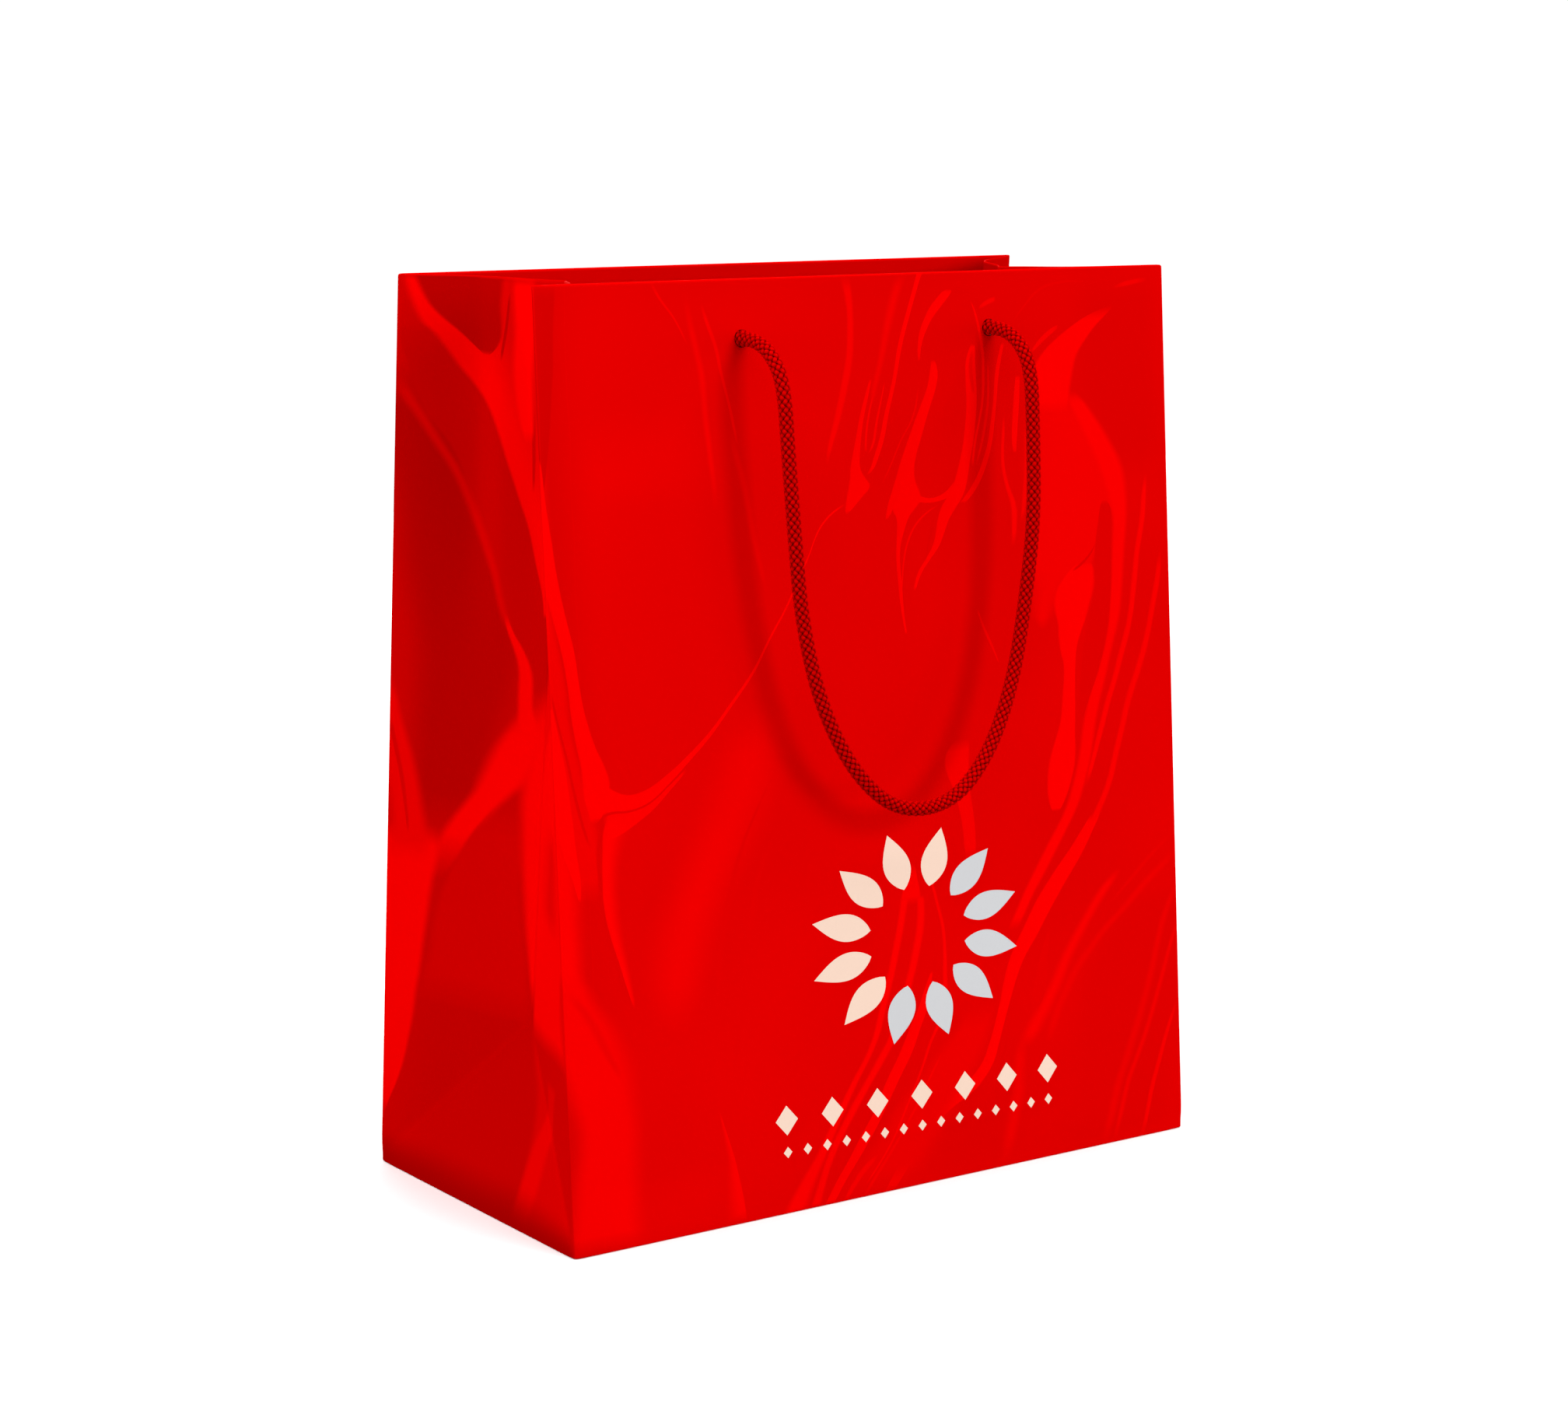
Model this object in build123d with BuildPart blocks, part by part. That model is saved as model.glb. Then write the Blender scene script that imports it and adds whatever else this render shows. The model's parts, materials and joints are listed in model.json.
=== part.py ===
"""A paper gift bag with two rope handles: a folded paper body, its boards, and its ropes.

The row frame has its origin on the floor under the middle of the bag, +X along the front panel
and +Z up. The front panel faces -Y. Millimetres.
"""

import os
from math import asin, cos, degrees, pi, radians, sin, tan

from build123d import *

# Driving dimensions
width = 254.0  # front panel, side edge to side edge
depth = 127.0  # bottom, front fold to back fold
height = 305.0  # front panel, bottom fold to top edge, along the paper
mouth_depth = 84.0  # front top edge to back top edge, as the bag stands

paper = 0.4  # thickness of the laminated paper
board = 1.0  # thickness of the reinforcing strips in the hems
bottom_card = 1.2  # thickness of the loose bottom board

gusset_fold = 60.0  # height of the cross crease where the gusset starts to fold inwards
apex_height = 59.0  # the point on the gusset's middle where its creases meet
apex_inset = 23.0  # how far that point stands in from the side
mouth_inset = 38.0  # how far the gusset's middle crease stands in at the top edge
crease_gap = 0.3  # a crease's own width, left open between two facets
side_gap = 1.3  # the same where a facet meets a panel's side edge at a sharp angle

hem = 40.0  # depth of the paper turned in at the mouth
seam = 18.0  # width of the glued seam flap
flap_overlap = 30.0  # how far the front and back bottom flaps overlap
flap_margin = 1.0  # bottom flaps and card end this far inside the folds

rope = 5.0  # rope diameter
hole = 5.8  # punched hole diameter
hole_spacing = 100.0  # between the two holes of one handle
hole_drop = 19.0  # from the top edge down to the holes
loop_start = 21.0  # below the holes, where the rope stops bending and hangs as a loop
knot_width = 13.0  # overhand knot across the rope
knot_depth = 11.5  # and along it, off the hem's face

lean = degrees(asin((depth - mouth_depth) / 2 / height))
hole_height = height - hole_drop
hem_stack = paper + board + paper

# Half of a handle's route, from inside the hem out through the hole and down to the loop's lowest run.
# Each point is (across from the panel's middle, up the panel, out from its face).
half_route = [
    (50.0, 286.0, -hem_stack),
    (50.0, 286.0, 7.0),
    (50.0, 280.8, 16.5),
    (49.8, 271.5, 22.0),
    (49.4, 250.0, 22.3),
    (48.0, 223.0, 21.6),
    (45.0, 196.0, 21.2),
    (38.5, 168.5, 21.4),
    (27.0, 145.0, 21.8),
    (11.0, 130.5, 22.0),
]
route = half_route + [(-x, up, out) for x, up, out in reversed(half_route)]

os.makedirs("parts", exist_ok=True)


def save(name, piece):
    """Label a finished piece and write it under its node's name."""
    piece.label = name
    export_step(piece, f"parts/{name}.step")


def panel_plane(facing):
    """A panel's outer face: x across it, y up it from the bottom fold, z out of it."""
    return Plane(
        origin=(0, facing * depth / 2, 0),
        x_dir=(-facing, 0, 0),
        z_dir=(0, facing * cos(radians(lean)), sin(radians(lean))),
    )


def corner_radii(points):
    """The radius of each arc of a rope's path: as large as its two runs allow."""
    runs = [Vector(*b) - Vector(*a) for a, b in zip(points, points[1:])]
    radii = []
    for before, after in zip(runs, runs[1:]):
        half_turn = radians(before.get_angle(after) / 2)
        radii.append(0.45 * min(before.length, after.length) / tan(half_turn))
    return radii


# Bottom: the side flaps are folded in first, then the back flap, then the front flap, which is outermost

flap_length = width - 2 * flap_margin
flap_reach = depth / 2 - flap_margin

with BuildPart() as bottom_front_flap:
    with BuildSketch():
        with Locations((0, -(flap_reach - flap_overlap / 2) / 2)):
            Rectangle(flap_length, flap_reach + flap_overlap / 2)
    extrude(amount=paper)
save("bottom_front_flap", bottom_front_flap.part)

with BuildPart() as bottom_back_flap:
    with BuildSketch(Plane.YZ):
        with BuildLine():
            Polyline(
                (-flap_overlap / 2, paper),
                (flap_overlap / 2 + crease_gap, paper),
                (flap_overlap / 2 + crease_gap, 0),
                (flap_reach, 0),
                (flap_reach, 2 * paper),
                (-flap_overlap / 2, 2 * paper),
                close=True,
            )
        make_face()
    extrude(amount=flap_length / 2, both=True)
save("bottom_back_flap", bottom_back_flap.part)

for side, name in ((-1, "left"), (1, "right")):
    with BuildPart() as bottom_side_flap:
        with BuildSketch(Plane.XY.offset(2 * paper)):
            with BuildLine():
                Polyline(
                    (side * flap_length / 2, -flap_reach),
                    (side * flap_length / 2, flap_reach),
                    (side * (flap_length / 2 - flap_reach), flap_reach - flap_overlap),
                    (side * (flap_length / 2 - flap_reach), -flap_reach + flap_overlap),
                    close=True,
                )
            make_face()
        extrude(amount=paper)
    save(f"bottom_{name}_flap", bottom_side_flap.part)

with BuildPart() as bottom_board:
    with BuildSketch(Plane.XY.offset(3 * paper)):
        RectangleRounded(flap_length - 2 * flap_margin, 2 * (flap_reach - flap_margin), 3)
    extrude(amount=bottom_card)
save("bottom_board", bottom_board.part)


# Gussets: a foot triangle on the bottom fold, a corner triangle beside each panel, and two upper halves that
# fold inwards along the middle crease


def save_triangle(name, corners, inside):
    """A flat three-cornered facet, drawn in from its creases and thickened towards the inside of the bag."""
    first, second, third = (Vector(*corner) for corner in corners)
    face = Plane(origin=first, x_dir=second - first, z_dir=(second - first).cross(third - first))
    with BuildPart() as triangle:
        with BuildSketch(face):
            with BuildLine():
                Polyline(*(tuple(face.to_local_coords(v))[:2] for v in (first, second, third)), close=True)
            make_face()
            offset(amount=-side_gap, kind=Kind.INTERSECTION)
        extrude(amount=paper if face.z_dir.X * inside > 0 else -paper)
    save(name, triangle.part)


def half_section(side, facing, up_panel, inset):
    """A gusset half cut level at a height up the panel: its four corners, and that level."""
    level = up_panel * cos(radians(lean))
    edge = Vector(side * width / 2, facing * (depth / 2 - up_panel * sin(radians(lean))))
    middle = Vector(side * (width / 2 - inset), 0)
    along = (middle - edge).normalized()
    inwards = Vector(-along.Y, along.X) * (-side * facing)
    start = edge + along * side_gap
    end = middle - along * crease_gap
    skin = inwards * paper * (1 if inwards.X * side < 0 else -1)
    return [tuple(v)[:2] for v in (start, end, end + skin, start + skin)], level


for side, name in ((-1, "left"), (1, "right")):
    apex = (side * (width / 2 - apex_inset), 0, apex_height)
    corners = {f: (side * width / 2, f * depth / 2, 0) for f in (-1, 1)}
    save_triangle(f"{name}_gusset_foot", (corners[-1], corners[1], apex), -side)
    for facing, half in ((-1, "front"), (1, "back")):
        fold_end = (
            side * width / 2,
            facing * (depth / 2 - gusset_fold * sin(radians(lean))),
            gusset_fold * cos(radians(lean)),
        )
        save_triangle(f"{name}_gusset_{half}_corner", (corners[facing], fold_end, apex), -side)
        with BuildPart() as gusset_half:
            for up_panel, inset in ((gusset_fold + 1, apex_inset), (height, mouth_inset)):
                outline, level = half_section(side, facing, up_panel, inset)
                with BuildSketch(Plane.XY.offset(level)):
                    with BuildLine():
                        Polyline(*outline, close=True)
                    make_face()
            loft(ruled=True)
        save(f"{name}_gusset_{half}_half", gusset_half.part)


# Panels: paper, hem and board are punched together, and each knot bears on the hem's inner face

radii = corner_radii(route)
print("rope corner radii:", [round(r, 1) for r in radii])

for facing, name in ((-1, "front"), (1, "back")):
    face = panel_plane(facing)

    with BuildPart() as panel:
        with BuildSketch(face):
            with Locations((0, (height + crease_gap * 2) / 2)):
                Rectangle(width, height - crease_gap * 2)
            with Locations((-hole_spacing / 2, hole_height), (hole_spacing / 2, hole_height)):
                Circle(hole / 2, mode=Mode.SUBTRACT)
        extrude(amount=-paper)
    save(f"{name}_panel", panel.part)

    with BuildPart() as reinforcing_board:
        with BuildSketch(face.offset(-paper)):
            with Locations((0, height - paper - (hem - 2 * paper) / 2)):
                Rectangle(width - 6 * side_gap, hem - 2 * paper)
            with Locations((-hole_spacing / 2, hole_height), (hole_spacing / 2, hole_height)):
                Circle(hole / 2, mode=Mode.SUBTRACT)
        extrude(amount=-board)
    save(f"{name}_board", reinforcing_board.part)

    with BuildPart() as turned_hem:
        with BuildSketch(face.offset(-paper - board)):
            with Locations((0, height - hem / 2)):
                Rectangle(width - 6 * side_gap, hem)
        extrude(amount=-paper)
        with BuildSketch(face.offset(-paper)):
            with Locations((0, height - paper / 2)):
                Rectangle(width - 6 * side_gap, paper)
        extrude(amount=-board)
        with BuildSketch(face):
            with Locations((-hole_spacing / 2, hole_height), (hole_spacing / 2, hole_height)):
                Circle(hole / 2)
        extrude(amount=-hem_stack, mode=Mode.SUBTRACT)
    save(f"{name}_hem", turned_hem.part)

    path_points = [face.from_local_coords(Vector(*point)) for point in route]
    with BuildPart() as whole_rope:
        with BuildLine() as path:
            FilletPolyline(*path_points, radius=radii)
        with BuildSketch(Plane(origin=path_points[0], z_dir=path_points[1] - path_points[0])):
            Circle(rope / 2)
        sweep()
    rope_length = path.wire().length
    print(name, "rope between its knots:", round(rope_length, 1), "mm long,", end=" ")
    print("volume over section x length:", round(whole_rope.part.volume / (rope_length * pi * rope**2 / 4), 4))

    swing_level = face.from_local_coords(Vector(0, hole_height - loop_start, 0))
    loop_top = Plane(origin=swing_level, z_dir=face.y_dir)
    with BuildPart() as handle:
        add(whole_rope.part)
        split(bisect_by=loop_top, keep=Keep.BOTTOM)
    save(f"{name}_handle", handle.part)

    for across, side in ((-1, "left"), (1, "right")):
        x = -facing * across * hole_spacing / 2
        with BuildPart() as bend:
            add(whole_rope.part)
            split(bisect_by=loop_top, keep=Keep.TOP)
            split(bisect_by=Plane.YZ, keep=Keep.TOP if across > 0 else Keep.BOTTOM)
        save(f"{name}_{side}_bend", bend.part)

        knot_centre = face.from_local_coords(Vector(x, hole_height, -hem_stack))
        knot_face = Plane(origin=knot_centre, x_dir=(1, 0, 0), z_dir=-face.z_dir)
        with BuildPart() as knot:
            with BuildSketch(knot_face):
                Circle(knot_width / 2 - 1.5)
            with BuildSketch(knot_face.offset(knot_depth / 2)):
                Circle(knot_width / 2)
            with BuildSketch(knot_face.offset(knot_depth)):
                Circle(knot_width / 2 - 3)
            loft()
        save(f"{name}_{side}_knot", knot.part)

# Side seam: the end of the sheet, glued to the inside of the back panel beside the right gusset

back_face = panel_plane(1)
with BuildPart() as seam_flap:
    with BuildSketch(back_face.offset(-paper)):
        with Locations((-(width / 2 - seam / 2 - 4 * side_gap), (height - hem) / 2)):
            Rectangle(seam, height - hem - 6 * side_gap)
    extrude(amount=-paper)
save("seam_flap", seam_flap.part)
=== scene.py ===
"""Looks of a glossy red paper gift bag with two rope handles. Metres, in the CAD row frame: the front panel faces
-Y, +Z is up, and the origin is on the floor under the middle of the bag."""

import json
from math import asin, cos, pi, radians, sin, tan

import bmesh
import bpy
import numpy as np
from mathutils import Matrix, Vector
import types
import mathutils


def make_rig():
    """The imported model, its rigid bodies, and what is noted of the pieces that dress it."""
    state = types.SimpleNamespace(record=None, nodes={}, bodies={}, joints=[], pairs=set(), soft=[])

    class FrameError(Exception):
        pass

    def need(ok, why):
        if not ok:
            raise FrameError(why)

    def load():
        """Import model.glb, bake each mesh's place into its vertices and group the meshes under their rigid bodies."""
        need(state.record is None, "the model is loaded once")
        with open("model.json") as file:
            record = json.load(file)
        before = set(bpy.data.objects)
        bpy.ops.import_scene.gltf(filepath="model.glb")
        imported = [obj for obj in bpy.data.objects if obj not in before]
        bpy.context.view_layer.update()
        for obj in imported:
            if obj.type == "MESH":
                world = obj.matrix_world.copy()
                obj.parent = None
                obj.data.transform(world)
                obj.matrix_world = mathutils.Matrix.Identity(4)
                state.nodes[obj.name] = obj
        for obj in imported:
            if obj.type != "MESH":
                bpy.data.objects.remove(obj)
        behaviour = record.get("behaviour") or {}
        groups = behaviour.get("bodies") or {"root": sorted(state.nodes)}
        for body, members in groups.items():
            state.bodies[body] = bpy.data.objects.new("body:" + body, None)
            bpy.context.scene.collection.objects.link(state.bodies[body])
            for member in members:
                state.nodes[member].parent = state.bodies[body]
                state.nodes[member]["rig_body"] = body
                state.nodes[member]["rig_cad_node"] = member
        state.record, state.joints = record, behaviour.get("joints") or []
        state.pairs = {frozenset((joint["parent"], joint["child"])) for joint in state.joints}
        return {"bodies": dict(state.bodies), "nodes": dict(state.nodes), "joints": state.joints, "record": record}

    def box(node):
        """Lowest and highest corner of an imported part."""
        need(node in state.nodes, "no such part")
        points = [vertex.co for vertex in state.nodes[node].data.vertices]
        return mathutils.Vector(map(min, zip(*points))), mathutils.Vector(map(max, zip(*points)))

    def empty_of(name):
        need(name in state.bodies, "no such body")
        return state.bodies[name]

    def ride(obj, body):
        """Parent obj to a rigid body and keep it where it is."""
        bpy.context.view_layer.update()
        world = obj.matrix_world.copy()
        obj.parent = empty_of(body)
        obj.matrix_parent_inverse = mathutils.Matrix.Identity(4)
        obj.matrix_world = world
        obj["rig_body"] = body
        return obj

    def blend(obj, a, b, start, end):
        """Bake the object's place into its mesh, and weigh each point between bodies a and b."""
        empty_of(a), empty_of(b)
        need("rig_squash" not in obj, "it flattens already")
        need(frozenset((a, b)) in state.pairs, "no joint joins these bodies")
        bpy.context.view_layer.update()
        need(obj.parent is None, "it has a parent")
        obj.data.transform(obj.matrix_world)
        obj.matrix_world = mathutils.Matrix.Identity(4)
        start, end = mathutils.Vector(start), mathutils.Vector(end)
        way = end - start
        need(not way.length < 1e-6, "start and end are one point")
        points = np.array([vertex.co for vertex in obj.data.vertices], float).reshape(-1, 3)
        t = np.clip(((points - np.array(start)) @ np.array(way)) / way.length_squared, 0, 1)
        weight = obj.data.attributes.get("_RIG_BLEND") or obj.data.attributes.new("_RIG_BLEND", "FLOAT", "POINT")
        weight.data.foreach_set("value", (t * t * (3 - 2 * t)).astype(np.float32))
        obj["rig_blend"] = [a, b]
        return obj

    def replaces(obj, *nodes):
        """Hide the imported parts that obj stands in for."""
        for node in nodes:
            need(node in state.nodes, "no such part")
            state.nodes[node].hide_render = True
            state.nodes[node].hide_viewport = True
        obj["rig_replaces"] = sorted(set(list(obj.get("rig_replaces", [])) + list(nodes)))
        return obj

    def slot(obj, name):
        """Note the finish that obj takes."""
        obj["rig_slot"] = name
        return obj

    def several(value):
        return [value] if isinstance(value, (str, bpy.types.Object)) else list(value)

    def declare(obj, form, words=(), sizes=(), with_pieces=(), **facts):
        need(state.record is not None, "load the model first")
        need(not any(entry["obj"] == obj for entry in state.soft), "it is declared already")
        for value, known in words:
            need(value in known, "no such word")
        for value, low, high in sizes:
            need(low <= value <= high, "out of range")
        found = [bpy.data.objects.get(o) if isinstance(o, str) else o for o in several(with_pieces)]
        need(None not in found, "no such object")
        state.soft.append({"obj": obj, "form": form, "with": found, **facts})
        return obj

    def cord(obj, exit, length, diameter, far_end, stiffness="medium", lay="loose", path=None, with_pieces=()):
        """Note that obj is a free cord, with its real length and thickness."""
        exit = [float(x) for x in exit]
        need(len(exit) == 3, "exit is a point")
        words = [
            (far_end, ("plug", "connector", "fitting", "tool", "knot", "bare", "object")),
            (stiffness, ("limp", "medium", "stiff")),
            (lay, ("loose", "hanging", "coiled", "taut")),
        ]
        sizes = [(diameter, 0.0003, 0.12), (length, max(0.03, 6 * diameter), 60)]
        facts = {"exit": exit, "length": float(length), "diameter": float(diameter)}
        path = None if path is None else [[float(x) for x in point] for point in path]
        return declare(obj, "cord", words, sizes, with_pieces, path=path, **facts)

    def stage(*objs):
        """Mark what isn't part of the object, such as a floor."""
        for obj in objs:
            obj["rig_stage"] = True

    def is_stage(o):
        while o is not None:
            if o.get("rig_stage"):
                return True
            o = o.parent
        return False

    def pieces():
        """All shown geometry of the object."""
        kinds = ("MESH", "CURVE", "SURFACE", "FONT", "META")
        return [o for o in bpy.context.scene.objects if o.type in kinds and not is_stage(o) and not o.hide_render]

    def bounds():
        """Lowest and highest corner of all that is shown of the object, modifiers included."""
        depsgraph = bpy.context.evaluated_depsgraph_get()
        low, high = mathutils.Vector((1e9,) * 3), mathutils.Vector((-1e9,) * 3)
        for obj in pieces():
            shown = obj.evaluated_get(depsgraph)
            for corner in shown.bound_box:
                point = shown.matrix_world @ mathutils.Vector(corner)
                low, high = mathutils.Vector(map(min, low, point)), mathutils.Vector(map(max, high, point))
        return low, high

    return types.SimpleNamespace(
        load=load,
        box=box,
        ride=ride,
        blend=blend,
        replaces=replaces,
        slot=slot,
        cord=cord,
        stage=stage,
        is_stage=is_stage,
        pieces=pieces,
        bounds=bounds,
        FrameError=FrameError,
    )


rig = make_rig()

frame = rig.load()
cad_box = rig.bounds()

MM = 0.001

# The bag, as the CAD has it
joints = {joint["name"]: joint for joint in frame["joints"]}
depth = 2 * joints["back_panel_fold"]["pos_m"][1]  # front fold to back fold at the bottom
width = 2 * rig.box("front_panel")[1].x
height = 305 * MM  # up the front panel's paper
mouth_depth = 84 * MM
lean = asin((depth - mouth_depth) / 2 / height)
paper = 0.4 * MM
half_width = width / 2
half_gusset = depth / 2  # paper from a side fold to the gusset's middle crease
hem_depth = 40 * MM
hem_stack = 1.8 * MM  # outer paper, board and turned-in paper
hem_folded = 0.9 * MM  # the same where there is no board
hole_height = height - 19 * MM
hole_spacing = 100 * MM
hole_radius = 2.9 * MM
rope_diameter = 5 * MM
knot_rope = 3.9 * MM  # the rope is pulled tight in its knots
tail_rope = 4.6 * MM
knot_depth = 4.5 * MM  # from the hem's inner face to a knot's middle
strands_each_way = 6
strand_lay = pi * rope_diameter  # the rope's length in which a strand goes once round it
strand_period = strand_lay / strands_each_way  # from one crest of a strand to its next

# The gusset's creases
cross_crease = 62 * MM  # up the side fold to where the upper gusset starts to fold in
apex_height = 59 * MM
apex_inset = 23 * MM
mouth_inset = 38 * MM

# How the sheet is drawn
sheet_edge = half_width + half_gusset  # the paper from the panel's middle to a gusset's middle crease
fold_soften = 0.9 * MM  # how far each side of a crease the paper curves
near_fold = fold_soften + 0.3 * MM  # how far each side of a crease the grid is close
turned_under = 1.2 * MM  # the paper that is drawn under the bottom fold
board_start = 1.5 * MM  # the hem gets its full thickness over this much paper from a side fold
crease_drop = 1.5 * MM  # the gusset's middle crease ends this much lower than the panels' edges

collection = bpy.context.scene.collection


# ---------------------------------------------------------------- camera

camera_target = Vector((-0.0026, 0, 0.1529))
camera_azimuth, camera_elevation, camera_roll = radians(-35.11), radians(10.17), radians(0.22)
camera_distance = 1.1937

camera_data = bpy.data.cameras.new("camera")
camera_data.lens = 80.1
camera_data.sensor_width = 36
camera = bpy.data.objects.new("camera", camera_data)
collection.objects.link(camera)
to_camera = Vector((
    sin(camera_azimuth) * cos(camera_elevation),
    -cos(camera_azimuth) * cos(camera_elevation),
    sin(camera_elevation),
))
camera.location = camera_target + camera_distance * to_camera
aim = to_camera.to_track_quat("Z", "Y")
camera.rotation_euler = (aim @ Matrix.Rotation(camera_roll, 3, "Z").to_quaternion()).to_euler()
bpy.context.scene.camera = camera


# ---------------------------------------------------------------- small helpers


def new_mesh(name, vertices, faces, materials=(), smooth=True, uvs=None, corner_uvs=None):
    """A mesh object from arrays of vertices and of faces, with uvs given for each vertex or each face corner."""
    mesh = bpy.data.meshes.new(name)
    mesh.from_pydata([tuple(v) for v in vertices], [], [tuple(f) for f in faces])
    mesh.polygons.foreach_set("use_smooth", [smooth] * len(mesh.polygons))
    if uvs is not None:
        corner_uvs = np.asarray(uvs, float)[[index for face in faces for index in face]]
    if corner_uvs is not None:
        mesh.uv_layers.new(name="paper").data.foreach_set("uv", np.asarray(corner_uvs, float).ravel())
    for material in materials:
        mesh.materials.append(material)
    mesh.update()
    obj = bpy.data.objects.new(name, mesh)
    collection.objects.link(obj)
    return obj


def apply_modifiers(obj):
    """Bakes an object's modifiers into its mesh."""
    evaluated = obj.evaluated_get(bpy.context.evaluated_depsgraph_get())
    mesh = bpy.data.meshes.new_from_object(evaluated)
    obj.modifiers.clear()
    obj.data = mesh
    return obj


def curve_mesh(curve):
    """The mesh of a curve, which is then removed."""
    holder = bpy.data.objects.new(curve.name, curve)
    collection.objects.link(holder)
    mesh = bpy.data.meshes.new_from_object(holder)
    bpy.data.objects.remove(holder)
    bpy.data.curves.remove(curve)
    return mesh


def smoothstep(low, high, value):
    """0 up to low and 1 from high, with a smooth rise between."""
    t = np.clip((value - low) / (high - low), 0, 1)
    return t * t * (3 - 2 * t)


def turned_round(points):
    """The same points on the back of the bag, which is the front turned half way round."""
    return points * np.array([-1, -1, 1])


placements = {"front": np.array, "back": turned_round}  # how each panel's points are placed


def side_name(panel, local_side):
    """The bag's side, seen from its front, that is at a panel's own left (-1) or right (1)."""
    return "left" if (local_side < 0) == (panel == "front") else "right"


def face_point(across, up, out):
    """A point beside the front panel: across from its middle, up its paper, and out from its face."""
    across, up, out = np.broadcast_arrays(across, up, out)
    return np.stack(
        [across, -depth / 2 + up * sin(lean) - out * cos(lean), up * cos(lean) + out * sin(lean)], axis=-1
    )


# ---------------------------------------------------------------- materials


class Tree:
    """A node tree, with short ways to add and link nodes."""

    def __init__(self, tree):
        self.tree = tree

    def add(self, kind, inputs=(), **settings):
        node = self.tree.nodes.new(kind)
        for key, value in settings.items():
            setattr(node, key, value)
        for key, value in dict(inputs).items():
            self.set(node, key, value)
        return node

    def set(self, node, key, value):
        if isinstance(value, bpy.types.NodeSocket):
            self.tree.links.new(value, node.inputs[key])
        else:
            node.inputs[key].default_value = value

    def math(self, operation, *values):
        return self.add("ShaderNodeMath", enumerate(values), operation=operation).outputs[0]

    def vector_math(self, operation, *values):
        return self.add("ShaderNodeVectorMath", enumerate(values), operation=operation).outputs[0]

    def noise(self, vector, scale, detail=2.0, roughness=0.5, output="Fac"):
        inputs = {"Vector": vector, "Scale": scale, "Detail": detail, "Roughness": roughness}
        return self.add("ShaderNodeTexNoise", inputs).outputs[output]

    def map_range(self, value, low, high):
        """A value that goes from 0 to 1, put between low and high."""
        return self.add("ShaderNodeMapRange", {"Value": value, "To Min": low, "To Max": high}).outputs["Result"]

    def ramp(self, value, *stops):
        """A ramp through (position, grey or colour) stops."""
        node = self.add("ShaderNodeValToRGB", {"Fac": value})
        elements = node.color_ramp.elements
        while len(elements) < len(stops):
            elements.new(0.5)
        for element, (position, colour) in zip(elements, stops):
            element.position = position
            element.color = (*colour, 1) if isinstance(colour, tuple) else (colour, colour, colour, 1)
        return node.outputs["Color"]

    def mix(self, factor, first, second):
        """A colour between two, by a factor."""
        inputs = {0: factor, 6: (*first, 1), 7: (*second, 1)}
        return self.add("ShaderNodeMix", inputs, data_type="RGBA").outputs[2]

    def bump(self, height_value, distance, strength):
        inputs = {"Height": height_value, "Distance": distance, "Strength": strength}
        return self.add("ShaderNodeBump", inputs).outputs["Normal"]


class Nodes(Tree):
    """A material and its node tree."""

    def __init__(self, name):
        self.material = bpy.data.materials.new(name)
        self.material.use_nodes = True
        super().__init__(self.material.node_tree)
        self.shader = self.tree.nodes["Principled BSDF"]

    def surface(self, **inputs):
        for key, value in inputs.items():
            self.set(self.shader, key.replace("_", " "), value)


# How soft a band of the painted sheen and shade is on its left (or lower) and right (or upper) side, as parts of its
# width
band_profiles = {
    "fill": (0.10, 0.10),
    "line": (0.35, 0.35),
    "soft": (0.50, 0.50),
    "wide": (0.30, 0.30),
    "left": (0.07, 0.80),
    "right": (0.80, 0.07),
}
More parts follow.
